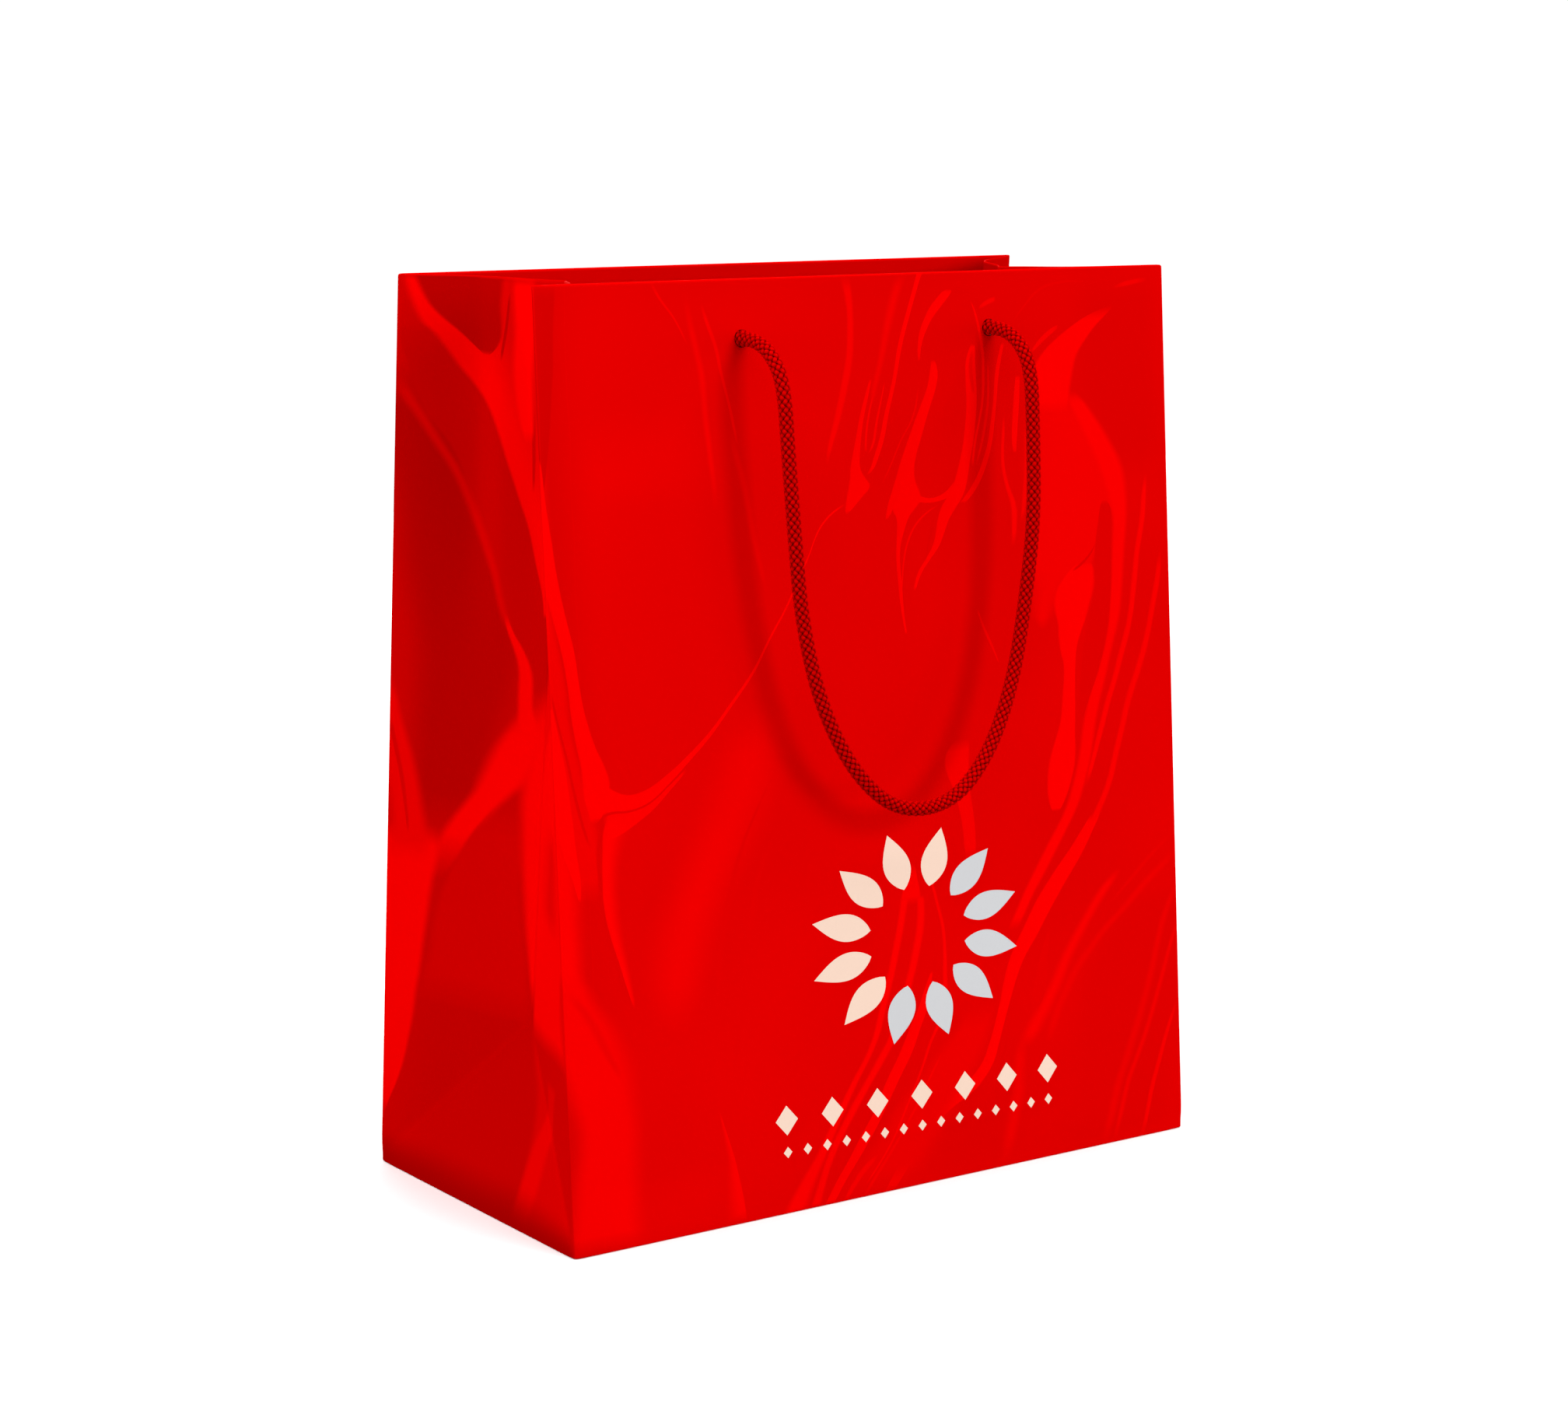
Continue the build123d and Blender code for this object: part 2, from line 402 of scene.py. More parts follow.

# The painted sheen and painted shade, drawn in millimetres of paper: brighter streaks and fields stand for reflections
# in the gloss film and deeper bands for shade, all painted into the paper's red. Each part is a list of bands, and a
# line that ends with a comma goes on in the next one. A band says which way it runs, how soft it is, how red it is, and
# the length over which its ends fade (with 0 it runs on past its ends). Then come its points: an "up" band runs up the
# paper through points of up, across and half-width, and an "across" band runs across it through points of across, up
# and half-width. Across is 0 at the panel's middle, -127 at its left fold and -254 at the far side of the left gusset.
sheen_and_shade_parts = {
    # the gusset: its darker ground, the dark bay under the mouth and the band along its foot are painted shade,
    # and the bright fields round it and the bright band beside the side fold are painted highlights
    "gusset": """
    up wide 0.775 0: 0 -190 90, 60 -190 92, 200 -190 92, 305 -190 92
    up wide 0.715 14: 120 -232 14, 150 -228 22, 180 -224 26, 220 -232 27, 260 -246 18, 275 -252 8
    up fill 0.78 3: 168 -191.5 2, 178 -196 5, 190 -201 8.5, 205 -205 11, 220 -211 10.5, 235 -217 10, 250 -224 11,
        262 -233 12, 274 -241 9, 283 -246 7, 289 -249 3
    up left 0.99 2: 196 -190 3, 204 -189 5, 215 -190 8, 225 -192 10, 235 -195 12, 245 -198 14, 255 -201 16, 262 -204 17,
        270 -208 20, 275 -211 22, 280 -214 23, 285 -217 24, 290 -219 28, 305 -222 32
    up fill 0.72 1: 279.5 -221.5 1, 282 -222 4.5, 286 -223.5 8.5, 290 -226 11.5, 295 -229 14.5, 300 -230.5 16.5,
        305 -231.5 18
    up line 0.80 5: 236 -199.4 0.6, 250 -200 1, 270 -202 1.5, 290 -204.5 2.2, 305 -206 2.6
    up line 0.74 3: 278 -215.5 0.5, 284 -214.6 0.9, 292 -213.2 0.8, 300 -212.2 0.5
    up soft 0.85 6: 190 -208 3, 200 -212.5 3, 210 -216 3, 220 -220 3.2, 230 -225 3.4, 240 -230.5 3.4, 250 -237.5 3.6,
        258 -243.5 4, 266 -250 4.5, 272 -254 5
    up wide 0.99 4: 154 -197 5, 160 -197.5 5.5, 166 -199 4.5, 172 -199.5 4.5, 178 -200.5 4, 184 -203.5 3.2,
        190 -207.5 1.8, 196 -210 1
    up wide 0.99 16: 104 -236 7, 112 -231 8, 120 -225.5 9, 126 -220.5 9.5, 131 -216 9.5, 136 -211 10.5, 142 -206 13,
        150 -202 13, 158 -198 11, 165 -195 8, 172 -192 4
    up fill 0.99 7: 16 -254 0.8, 22 -254 3, 30 -254 7, 40 -254 11, 50 -254 13.5, 60 -254 15.5, 80 -254 18,
        100 -254 20.5, 112 -254 22.5, 122 -254 22
    up fill 0.82 12: 60 -216 27, 70 -215 24.5, 80 -214 22.5, 90 -214.5 21, 100 -214 18.5, 108 -213 16, 116 -210.5 13.5,
        122 -208.5 11, 128 -206.5 7.5, 132 -205.5 4, 134 -205.3 1.5
    up wide 0.93 8: 108 -246 11, 120 -245.5 10, 130 -247 9, 140 -249 8, 150 -251.5 7, 160 -254 5.5, 172 -256 4
    up line 0.84 4: 118 -245.5 0.6, 126 -246.8 1, 138 -249 1.2, 148 -251.5 1.3, 157 -254 1.2
    up wide 0.98 10: 66 -189.5 2.5, 78 -189.5 4, 90 -190 6, 100 -190.5 7.5, 112 -191 9, 124 -191 10, 134 -191 11,
        146 -188 13, 160 -182 16, 175 -176 16, 190 -170 12, 205 -165 5
    up wide 0.96 20: 60 -127 6, 80 -128 10, 120 -130 14, 160 -132 14, 200 -133 12, 240 -132 9, 260 -129 5
    up fill 0.85 6: 0 -148 22, 20 -148 22.5, 40 -151 25.5, 52 -155 29.5, 60 -158 32, 70 -158.5 33
    up fill 1.04 8: 58 -158.5 32, 70 -158.5 33, 90 -158.5 33, 120 -158.5 33, 140 -158.5 33, 152 -157 31, 168 -150 24
    up soft 0.94 8: 98 -158 30, 110 -158 32, 120 -158 32, 132 -158 30
    up wide 0.92 3: 0 -163 7, 15 -163 7, 30 -163 6, 40 -160 7, 50 -156 10
    up wide 1.03 4: 252 -202 2, 262 -204 4.5, 275 -205.5 6, 290 -206 6, 305 -206.5 6
    across soft 0.63 1: -254 0 13, -220 0 14, -190 0 15, -168 0 15, -150 0 13, -134 0 9, -127 0 6
    """,
    # the panel: broad lighter and darker areas of painted sheen
    "broad_areas": """
    up wide 0.865 25: 130 -84 30, 170 -87 32, 200 -89 32, 250 -91 30, 305 -92 30
    up soft 0.915 16: 66 -84 8, 85 -84 16, 100 -80 18, 112 -74 19, 125 -66 20, 138 -59 20, 150 -54 19, 160 -51 16,
        170 -49 10
    up wide 0.845 12: 232 106 12, 250 106 24, 270 106 24, 305 106 24
    up wide 0.845 6: 0 96 36, 20 98 34, 40 100 32, 60 104 30, 75 112 22, 88 122 10
    """,
    # at the left fold: the fold's own band of painted shade, the thin line of painted sheen that runs off it to the
    # right, and the hook under them
    "left_fold": """
    up fill 0.79 4: 236 -127 0.6, 245 -126.8 1.6, 254 -126.4 2.6, 262 -126 3.6, 272 -125.2 4.4, 290 -124.5 5,
        305 -124.2 5.4
    up wide 0.945 6: 0 -115 19, 10 -115 18, 20 -114 16.5, 40 -112 15, 50 -114 16.5, 60 -117 18, 70 -121 18, 80 -125 14,
        92 -127 9
    up soft 0.90 6: 54 -106 1, 58 -108 2, 66 -112.5 3, 76 -118 3.2, 86 -126 3.2
    up wide 0.915 8: 112 -116 5, 125 -116 6, 138 -118 7, 150 -121 7, 165 -123.5 6, 185 -126 5, 200 -128 3
    up fill 0.975 1: 113 -119.3 0.4, 120 -120.2 1.5, 130 -122.5 2.6, 140 -124.3 3.3, 150 -125 3.3, 160 -126 3,
        175 -128 2
    up line 0.85 4: 130 -115 0.6, 137 -117.6 0.8, 147 -119.8 0.8, 157 -121.6 0.7, 170 -124.4 0.6, 180 -127 0.5
    up fill 0.975 2: 137.5 -113.4 0.6, 140 -112.5 2.8, 146 -112 5, 150 -111.8 5.4, 155 -112.7 4.7, 160 -114.4 3.7,
        170 -116.5 2.9, 180 -118.3 2.5, 190 -119.8 2.6, 200 -121.9 2.6, 210 -123.8 2.8, 220 -125.6 3, 235 -127.5 3,
        252 -129 2
    across fill 0.975 3: -116 139 0.3, -111 145.5 6, -108 144.6 4.6, -104 143.4 3.3, -100 143 2.7, -95 143.8 2.6,
        -90 145.7 2.4, -85 148.6 2, -80 151.9 1.5, -70 159.7 1.1, -60 170.3 0.9, -50 181.3 0.8, -40 194.3 0.7,
        -28 213 0.6, -20 225.5 0.5, -11 231 0.3
    across fill 0.965 2: -110 135.5 4.5, -105 136.5 4.4, -100 137.5 3.2, -95 139.4 2.2, -90 141.9 1.5, -85 145.4 1,
        -78 150.6 0.5
    up left 0.975 3: 77 -100.4 0.5, 82 -101.6 1.1, 90 -103.6 1.9, 100 -106.2 2.8, 110 -107.4 3.5, 120 -107.4 3.8,
        128 -106.3 4.6, 134 -104.6 6, 139 -102 7
    up line 0.845 4: 80 -103.3 0.5, 90 -106.9 0.8, 100 -109.8 0.9, 110 -111.4 0.9, 120 -112 0.9, 130 -112 0.9,
        136 -111 0.7
    across line 0.865 2: -112 138 0.5, -108 140 0.6, -100 140.2 0.5, -95 141.2 0.5, -90 143.3 0.5, -85 146.7 0.4,
        -79 151 0.3
    up right 0.955 3: 0 -66 5, 8 -65.5 4, 14 -65.5 3, 20 -66 2, 26 -67.3 1.4, 32 -68.6 0.8, 38 -70 0.3
    """,
    # faint arcs of painted sheen on the left of the panel
    "faint_arcs": """
    up line 0.925 4: 284 -70.6 0.4, 292 -74.6 0.6, 300 -80.6 0.8, 305 -83.4 0.9
    up line 0.935 5: 252 -53 0.5, 262 -54.9 0.8, 268 -56.5 0.8, 275 -58.5 0.9, 283 -60.2 1, 290 -62.5 1, 297 -64.9 0.6
    up soft 0.90 10: 204 -44.5 1.2, 215 -47.4 1.8, 230 -50.6 2, 245 -53.6 2, 258 -55 1.6
    up soft 0.925 14: 232 -63.5 1.4, 250 -64.2 1.8, 268 -65.5 2, 285 -68 2, 300 -71 1.6
    up soft 0.86 14: 64 -67.5 1.2, 80 -68.6 1.8, 95 -66.6 2, 110 -61.8 2, 122 -57.6 1.6, 134 -51.6 1, 148 -43 0.8
    up soft 0.86 12: 50 -63 1.2, 70 -60.4 1.8, 88 -57 2, 102 -54 2, 114 -50.6 1.6, 128 -42.5 1
    """,
    # the knotted streaks of painted sheen under the mouth, left to right
    "knot": """
    up line 0.945 5: 244 -18 0.5, 250 -16.9 1.3, 258 -14.3 1.9, 266 -11.6 2.1, 275 -9.4 2, 285 -8.2 1.8, 295 -7.9 1.9,
        305 -9 2.6
    up soft 0.925 5: 262 0.4 1.2, 270 2.2 1.8, 280 5.4 2.4, 290 8.4 2.8, 298 11.3 3, 305 14.6 3.4
    up fill 0.965 1: 227.5 -10.7 0.4, 230 -9.2 1.9, 233 -7.4 3.4, 236 -5.6 4.6, 239 -6.2 3.3, 242 -6.9 2.2,
        248 -6.1 1.5, 255 -4.5 1.1, 262 -2.6 0.9, 271 0 0.5
    up fill 0.97 1: 240 -2.4 0.5, 241.5 -0.7 0.8, 246 1.8 1.1, 252 4.6 1.1, 260 7.1 1, 270 10 0.9, 280 12.5 1,
        290 15.6 1, 300 19.6 1, 305 21.8 1.2
    up line 0.96 2: 247 -1.4 0.6, 250 0.6 0.7, 256 2.4 0.7, 263 4.3 0.5, 270 6 0.3
    up line 0.955 2: 247.5 -2.4 0.6, 252 -2.1 0.6, 258 -0.9 0.6, 266 1.2 0.4
    up line 0.92 4: 236 3.4 0.3, 242 7.4 0.5, 250 12.2 0.5, 258 17.6 0.5, 268 19.8 0.3
    up fill 0.97 1: 276 20.7 0.4, 282 21.3 1, 286 22.6 1.5, 290 24.8 1.9, 294 28.2 2.7, 297 31.6 2.6, 298.8 33.4 1.2
    up fill 0.97 1: 186 11.4 0.4, 192 10.6 0.6, 200 9.9 0.8, 210 9.6 0.8, 216 10 1, 220 10.8 1.6, 224 11.7 2.6,
        227 12.4 4.8, 230 13.4 6.4, 233 13.8 5.6, 236 13.3 4.7, 240 13.8 3.7, 245 15.5 3.1, 250 17.7 2.8, 256 20.2 2.4,
        262 22.8 2.1, 268 25.4 2, 272 26.4 1.8, 276 26.3 0.7
    up fill 0.965 1: 224.5 5 0.4, 226 5.9 1, 229 7.2 1.5, 233 9.2 1.8, 238 10.6 1
    across fill 0.97 1: 13 230.5 1.5, 18 230.4 1.3, 22 229.6 0.9, 26 229.8 0.9, 30 231 1.3, 34 233.4 2.4
    up fill 0.97 1: 200 15.8 0.5, 206 18.1 0.9, 210 21.4 1.1, 214 24.7 1.5, 218 26.7 1.9, 223 28.6 2.7, 227 31 3.5,
        230 33.4 3.6, 234 36 3.1, 238 37.5 2.7, 243 38.8 2.3, 250 40.2 2.3, 260 41.2 2.3, 270 41.6 2.3, 276 41.8 2,
        281 43 0.8
    up line 0.90 2: 264 42.2 0.5, 268 42 1, 274 41.7 1.1, 279 42.4 0.6
    up line 0.85 2: 209 20.3 0.3, 214 21.5 0.5, 220 23.4 0.9, 224 24.6 0.5
    up line 0.95 2: 200 10.4 0.3, 210 11.8 0.5, 217 14 0.6, 222 17.2 0.7, 225.5 21.6 0.8, 228 27 0.8
    up line 0.965 2: 240 41.7 0.5, 248 42.7 0.7, 256 44.6 0.6, 264 46 0.7, 272 46.7 0.8, 280 46.6 0.9, 286 45.8 0.8,
        291 44.4 0.6, 295 42.5 0.3
    up line 0.94 4: 240 43 0.4, 248 45.4 0.7, 256 47.2 0.8, 266 48.4 0.6, 276 48.8 0.3
    up fill 0.965 1: 228 36.6 1.2, 231 40 1.5, 234 42.7 1.4, 238 45.2 1.2, 243 47.2 1.1, 248 48.7 1, 255 50 0.9,
        262 51 0.8, 270 52.3 0.9, 275 53.6 0.9, 281 55.8 0.7
    up line 0.96 5: 212 57.6 1, 220 58.8 1.6, 226 58.6 1.7, 232 56.2 1.2, 238 54.5 1, 244 53.9 0.9, 250 54.3 0.8,
        257 54.8 0.4
    up fill 0.97 1: 243.5 59.3 0.6, 248 59.1 1.2, 255 59.7 1.4, 262 60.5 1.4, 270 61.4 1
    up line 0.94 4: 220 62 0.8, 230 63.7 1.3, 240 64.7 1.4, 252 64.3 1
    across line 0.94 1: 46 292.3 0.5, 49 293.9 1.2, 53.5 295.3 1
    across line 0.885 4: 60 287 0.5, 66 293 0.7, 72 297.5 0.8, 80 299.5 0.6, 92 300 0.4
    across line 0.93 5: 104 297.6 0.6, 112 299 1.2, 120 299.8 0.8
    up line 0.935 1: 173 49.7 0.3, 178 47.4 0.6, 184 44.6 0.8, 188 42.9 0.6, 192 41.5 0.3
    """,
    # the flame of painted sheen and its long tail at the right
    "flame": """
    up soft 0.93 4: 183 70 2, 188 70 6, 195 72 11, 203 76 15, 212 80 19, 222 84 22, 232 86 23, 242 85 22, 252 82 19,
        262 76 14
    up fill 0.93 6: 196 76 10, 203 79 14, 210 81 16, 220 83 20, 230 84 22, 240 83 21, 250 80 17, 262 75 11
    across fill 0.95 1: 68 277.6 0.5, 72 280.8 1.1, 76 283.4 1.1, 80 285.6 0.6
    up fill 0.975 4: 256 75 8, 262 74.6 10.2, 266 75.4 10.2, 271 77 9.6, 275 79 8.8, 278 81.6 8, 281 85 7.2,
        284 88.8 6.4, 286 91.8 5.8, 288 95.4 4.8, 290 99.6 3, 291.5 103 0.6
    up wide 0.97 4: 82 52.5 3, 92 59.5 3.4, 100 65.5 3.6, 110 72 3.6, 120 78.6 3.6, 130 83.6 3.8, 140 87.2 4, 150 90 4,
        160 93.4 3.8, 170 96.6 3.7, 180 99.6 3.7, 190 102 3.8, 200 103.6 3.9, 210 104.6 4, 220 104.8 4.4, 230 103.4 5.6,
        238 101 6.4, 244 98 6.4, 250 94 6, 256 89.4 5, 263 84 3
    up line 0.965 5: 128 86.6 1, 136 90.2 1.5, 146 94.8 1.9, 155 98.6 1.9, 165 102.6 1.9, 175 105.8 1.8, 185 108.6 1.7,
        195 110.9 1.7, 205 112.7 1.6, 215 114.5 1.6, 225 115.8 1.5, 233 117.2 0.8
    up line 0.955 6: 112 88 2.4, 117 90.8 2.4, 125 95.8 2.2, 135 100.6 2.1, 145 104.6 2, 155 108.2 2, 165 112 1.9,
        175 115.4 1.9, 185 118.6 1.8, 195 121 1.7, 206 122.8 0.8
    up fill 0.97 3: 0 -3.5 2.2, 5 0.4 2.7, 12 6 3.2, 18 10.5 4, 24 18 6, 28 26 7, 31 32.5 5, 36 38.6 3.2, 43 42 2.6,
        50 44.8 2.5, 58 48 2.7, 65 50.8 3.2, 72 54.4 3.8, 80 60 4.6, 88 66.4 5, 96 73.2 4.7, 103 79.2 4.2, 110 85 3.4,
        118 91 2.4
    up fill 0.855 1: 151 86 0.6, 158 88 2.6, 168 90.8 4.6, 178 93.2 5.4, 188 95.4 4.8, 198 97 4.4, 206 97.5 4.2,
        212 97.9 3.9, 218 98.4 3.4, 222 98.6 2.8, 225.5 98.3 0.8
    up fill 0.975 1: 120.5 72.4 1.6, 125 73.4 4, 130 74.6 5.6, 135 75.7 6.3, 140 76.8 6.1, 145 78.2 5, 150 79.6 3.9,
        160 80.8 3.2, 170 81.3 3, 175 81.1 3.9, 180 81.7 5.2, 185 82.8 6.6, 190 83 8.4, 195 84.2 9.2, 200 86.4 7.4,
        204.5 89 3.4
    across line 0.85 1: 84 202.4 0.5, 88 204.2 0.8, 92 207.4 0.8, 94.5 211 0.5
    up fill 0.945 4: 108 35.4 2.6, 116 35 2.9, 124 33.8 3.2, 132 32.2 4, 138 31 5.2, 142 30.9 5.7, 146 31.6 5,
        149.4 33.4 2.6
    """,
    # lower right: soft bands of painted sheen that fan out from the right fold
    "lower_right": """
    up soft 0.945 5: 40 57 3.5, 46 60.5 6, 53 66.5 6, 60 71.4 5, 68 76.2 4.4, 76 81.8 4.2, 84 88.6 4.2, 90 94 4,
        97 101 2.4
    up soft 0.90 6: 40 67 2.6, 48 71 3.2, 56 75.8 3.4, 64 81.2 3.4, 70 87 3.6, 76 94.6 3.6, 82 103 3.6, 88 110.4 3.6,
        94 118 3.6, 101 128 3.4
    up soft 0.885 6: 84 96 1.4, 92 106 2, 99 114.6 2.2, 107 127 2.2
    up fill 0.87 3: 52 61.6 1.2, 57 63.4 3, 64 64.8 2.8, 72 66.4 1.8, 80 68.6 0.6
    up line 0.85 8: 0 41.4 1.6, 10 42 1.7, 20 42.7 1.7, 30 43.8 1.5, 40 46.8 1, 50 50 0.6
    up soft 0.915 10: 0 46.4 3.6, 10 49 4.4, 25 52.4 4.4, 36 53.6 4.2, 46 56.6 3
    up soft 0.895 8: 0 91 2.6, 10 94 3, 20 98 3.2, 30 102.8 3.2, 40 107.4 3, 50 111.5 2.8, 60 115 2.6, 70 118.4 2.4,
        80 122 2.2, 90 127.4 2
    up soft 0.915 8: 0 95.4 1.4, 10 98.4 1.8, 20 102.6 2, 30 108 2, 40 113 1.9, 50 117 1.8, 62 121.6 1.6, 76 127.4 1.4
    up line 0.935 6: 0 107.6 1.3, 8 110.6 1.4, 18 114 1.4, 28 118 1.3, 38 122 1.1, 46 125.6 0.8
    """,
    # the sheaf of painted sheen that rises from the panel's foot to the middle of the print
    "sheaf": """
    up wide 0.90 8: 0 -12 22, 12 0 20, 24 10 18, 34 20 16, 46 30 12, 58 38 8
    up fill 0.965 3: 96 9 4.8, 100 9.2 4.2, 104 9.6 2.8, 109.5 10.4 0.6
    up line 0.965 1: 0 -42 6.5, 10 -35.5 4.4, 20 -28.4 2.8, 30 -22 2.2, 40 -15.6 1.9, 48 -10.2 1.8, 55 -6.6 1.9,
        62 -4 2, 70 -1.5 2, 80 1.7 2.1, 90 4.4 2.2, 99 6.6 2.2
    up line 0.965 1: 0 -33.6 2.6, 8 -30.2 2.2, 15 -27 2.1, 22 -22.8 2.2, 30 -17.2 2.4, 38 -11 2.4, 45 -5.6 2.7,
        54 0.6 2.5, 62 3.6 2.3, 70 6.7 2.2, 80 10.1 2.2, 90 12.9 2.2, 99 13.2 1.8
    up fill 0.97 1: 0 -28 2, 6 -23.5 2.2, 14 -17 2.4, 22 -11.4 2.6, 30 -5.4 2.7, 38 -0.4 3, 46 5 2.9, 54 9 2.5,
        60 12 2.1, 66 14.1 1.5, 72.6 16.5 0.4
    up line 0.955 3: 4 -13 0.6, 12 -6 0.7, 22 1.4 0.7, 32 7.4 0.7, 40 11.6 0.8, 48 15 0.9, 56 19.4 1.2, 64 21.5 1.5,
        72 22.1 1.3, 80 22.1 1, 88 21.6 0.9, 96 19.7 0.8, 105 17.2 0.7, 114 14.8 0.4
    up line 0.95 2: 0 -21.6 1.2, 6 -16.6 1.8, 11 -11.4 2, 13.5 -8.4 1
    up line 0.935 5: 0 -14 1, 8 -7.4 1.1, 16 -0.4 1, 24 6.4 0.9, 34 13.5 0.8, 44 20 0.7
    """,
}


def read_bands(text):
    """Each band of a part of the painted sheen and shade: its way, profile, redness, fade and points."""
    for line in text.replace(",\n", ",").strip().splitlines():
        head, points = line.split(":")
        way, profile, redness, fade = head.split()
        points = [[float(number) for number in point.split()] for point in points.split(",")]
        yield way, profile, float(redness), float(fade), points


def everywhere(nodes, value):
    """A colour whose three parts are all the value, for a node with a curve for each part."""
    return nodes.add("ShaderNodeCombineColor", {0: value, 1: value, 2: value}).outputs[0]


def sheen_and_shade_part(name, bands):
    """A node group that lays some bands of the painted sheen and shade over the tone it is given. A band's curves hold
    its centre line, its half-width and its strength, as parts of the paper it may cover and of the widest half-width."""
    widest = 100.0
    tree = bpy.data.node_groups.new(name, "ShaderNodeTree")
    for label in ("Across", "Up", "Tone"):
        tree.interface.new_socket(label, in_out="INPUT", socket_type="NodeSocketFloat")
    tree.interface.new_socket("Tone", in_out="OUTPUT", socket_type="NodeSocketFloat")
    nodes = Tree(tree)
    across, up, tone = nodes.add("NodeGroupInput").outputs[:3]
    extents = {"up": (0.0, height / MM), "across": (-(half_width + depth) / MM, (width + depth) / MM)}
    coordinates = {"up": up, "across": across}
    other_way = {"up": "across", "across": "up"}
    inputs = {}
    for way, profile, redness, fade, points in bands:
        start, span = extents[way]
        other_start, other_span = extents[other_way[way]]
        if way not in inputs:
            shifted = nodes.math("SUBTRACT", coordinates[way], start)
            inputs[way] = everywhere(nodes, nodes.math("DIVIDE", shifted, span))
        places = [(along - start) / span for along, _, _ in points]
        first, last = places[0], places[-1]
        strength = [(first, 0), (first + fade / span, 1), (last - fade / span, 1), (last, 0)]
        courses = (
            [(place, (centre - other_start) / other_span) for place, (_, centre, _) in zip(places, points)],
            [(place, half / widest) for place, (_, _, half) in zip(places, points)],
            strength if fade else [(0, 1), (1, 1)],
        )
        node = nodes.add("ShaderNodeRGBCurve", {"Color": inputs[way]})
        for curve, course in zip(node.mapping.curves, courses):
            curve.points[0].location, curve.points[1].location = course[0], course[-1]
            for place, value in course[1:-1]:
                curve.points.new(place, value)
            if course is strength:
                for point in curve.points:
                    point.handle_type = "VECTOR"
        node.mapping.update()
        parts = nodes.add("ShaderNodeSeparateColor", {"Color": node.outputs["Color"]}).outputs
        centre = nodes.math("MULTIPLY_ADD", parts[0], other_span, other_start)
        offset = nodes.math("SUBTRACT", coordinates[other_way[way]], centre)
        place = nodes.math("ADD", nodes.math("DIVIDE", offset, nodes.math("MULTIPLY", parts[1], 2 * widest)), 0.5)
        mask = parts[2]
        for edge, softness in zip((0.0, 1.0), band_profiles[profile]):
            rise = {"Value": place, "From Min": edge, "From Max": abs(edge - softness)}
            side = nodes.add("ShaderNodeMapRange", rise, interpolation_type="SMOOTHSTEP")
            mask = nodes.math("MULTIPLY", mask, side.outputs["Result"])
        tone = nodes.add("ShaderNodeMix", {0: mask, 2: tone, 3: redness}, data_type="FLOAT").outputs[0]
    nodes.tree.links.new(tone, nodes.add("NodeGroupOutput").inputs[0])
    return tree


def red_laminate():
    """Red art paper under gloss film, with painted sheen and painted shade in its colour: brighter red streaks that
    stand for the film's reflections, and deeper red bands.
    """
    nodes = Nodes("red_laminate")
    place = nodes.add("ShaderNodeUVMap", uv_map="paper").outputs["UV"]
    drift = nodes.vector_math("SUBTRACT", nodes.noise(place, 30.0, 1.0, output="Color"), (0.5, 0.5, 0.5))
    place = nodes.vector_math("ADD", place, nodes.vector_math("MULTIPLY", drift, (0.003, 0.003, 0.0)))
    millimetres = nodes.vector_math("MULTIPLY", place, (1000.0, 1000.0, 0.0))
    parts = nodes.add("ShaderNodeSeparateXYZ", {0: millimetres}).outputs
    across, up = parts[0], parts[1]
    tone = nodes.map_range(nodes.noise(place, 14.0, 1.0), 0.83, 0.89)  # the ground's faint clouds
    for name, text in sheen_and_shade_parts.items():
        group = sheen_and_shade_part(f"sheen_and_shade_{name}", read_bands(text))
        part = nodes.add("ShaderNodeGroup", node_tree=group)
        for key, value in (("Across", across), ("Up", up), ("Tone", tone)):
            nodes.set(part, key, value)
        tone = part.outputs[0]
        # a millionth of the tone makes the next part wait for this one, or they overrun the renderer's stack
        across, up = (nodes.math("MULTIPLY_ADD", tone, 1e-6, value) for value in (across, up))
    # the redness of the painted sheen and shade is as it shows under the key light, so its paint is a little darker
    red = nodes.math("MULTIPLY", nodes.math("POWER", tone, 2.2), 0.87)
    colour = nodes.add("ShaderNodeCombineColor", {0: red, 1: 0.0, 2: 0.0}).outputs[0]
    orange_peel = nodes.noise(place, 420.0)
    nodes.surface(
        Base_Color=colour,
        Metallic=0.12,
        Roughness=0.3,
        Specular_IOR_Level=0.0,
        Specular_Tint=(1.0, 0.03, 0.02, 1.0),
        Normal=nodes.bump(orange_peel, 0.00002, 0.6),
    )
    return nodes.material


def inside_paper():
    """The uncoated back of the paper: off-white, with a faint fibre."""
    nodes = Nodes("inside_paper")
    place = nodes.add("ShaderNodeTexCoord").outputs["Object"]
    fibre = nodes.noise(place, 900.0, 4.0, 0.7)
    cloud = nodes.noise(place, 60.0, 3.0)
    colour = nodes.mix(nodes.ramp(cloud, (0.35, 0.0), (0.7, 1.0)), (0.80, 0.78, 0.75), (0.87, 0.86, 0.83))
    nodes.surface(Base_Color=colour, Roughness=0.85, Normal=nodes.bump(fibre, 0.00005, 0.5))
    return nodes.material


def grey_board():
    """Recycled cardboard: warm grey with darker and paler flecks."""
    nodes = Nodes("grey_board")
    place = nodes.add("ShaderNodeTexCoord").outputs["Object"]
    fleck = nodes.noise(place, 700.0, 5.0, 0.8)
    colour = nodes.ramp(fleck, (0.30, (0.30, 0.27, 0.23)), (0.5, (0.44, 0.41, 0.36)), (0.72, (0.55, 0.52, 0.47)))
    nodes.surface(Base_Color=colour, Roughness=0.9, Normal=nodes.bump(fleck, 0.0001, 0.5))
    return nodes.material


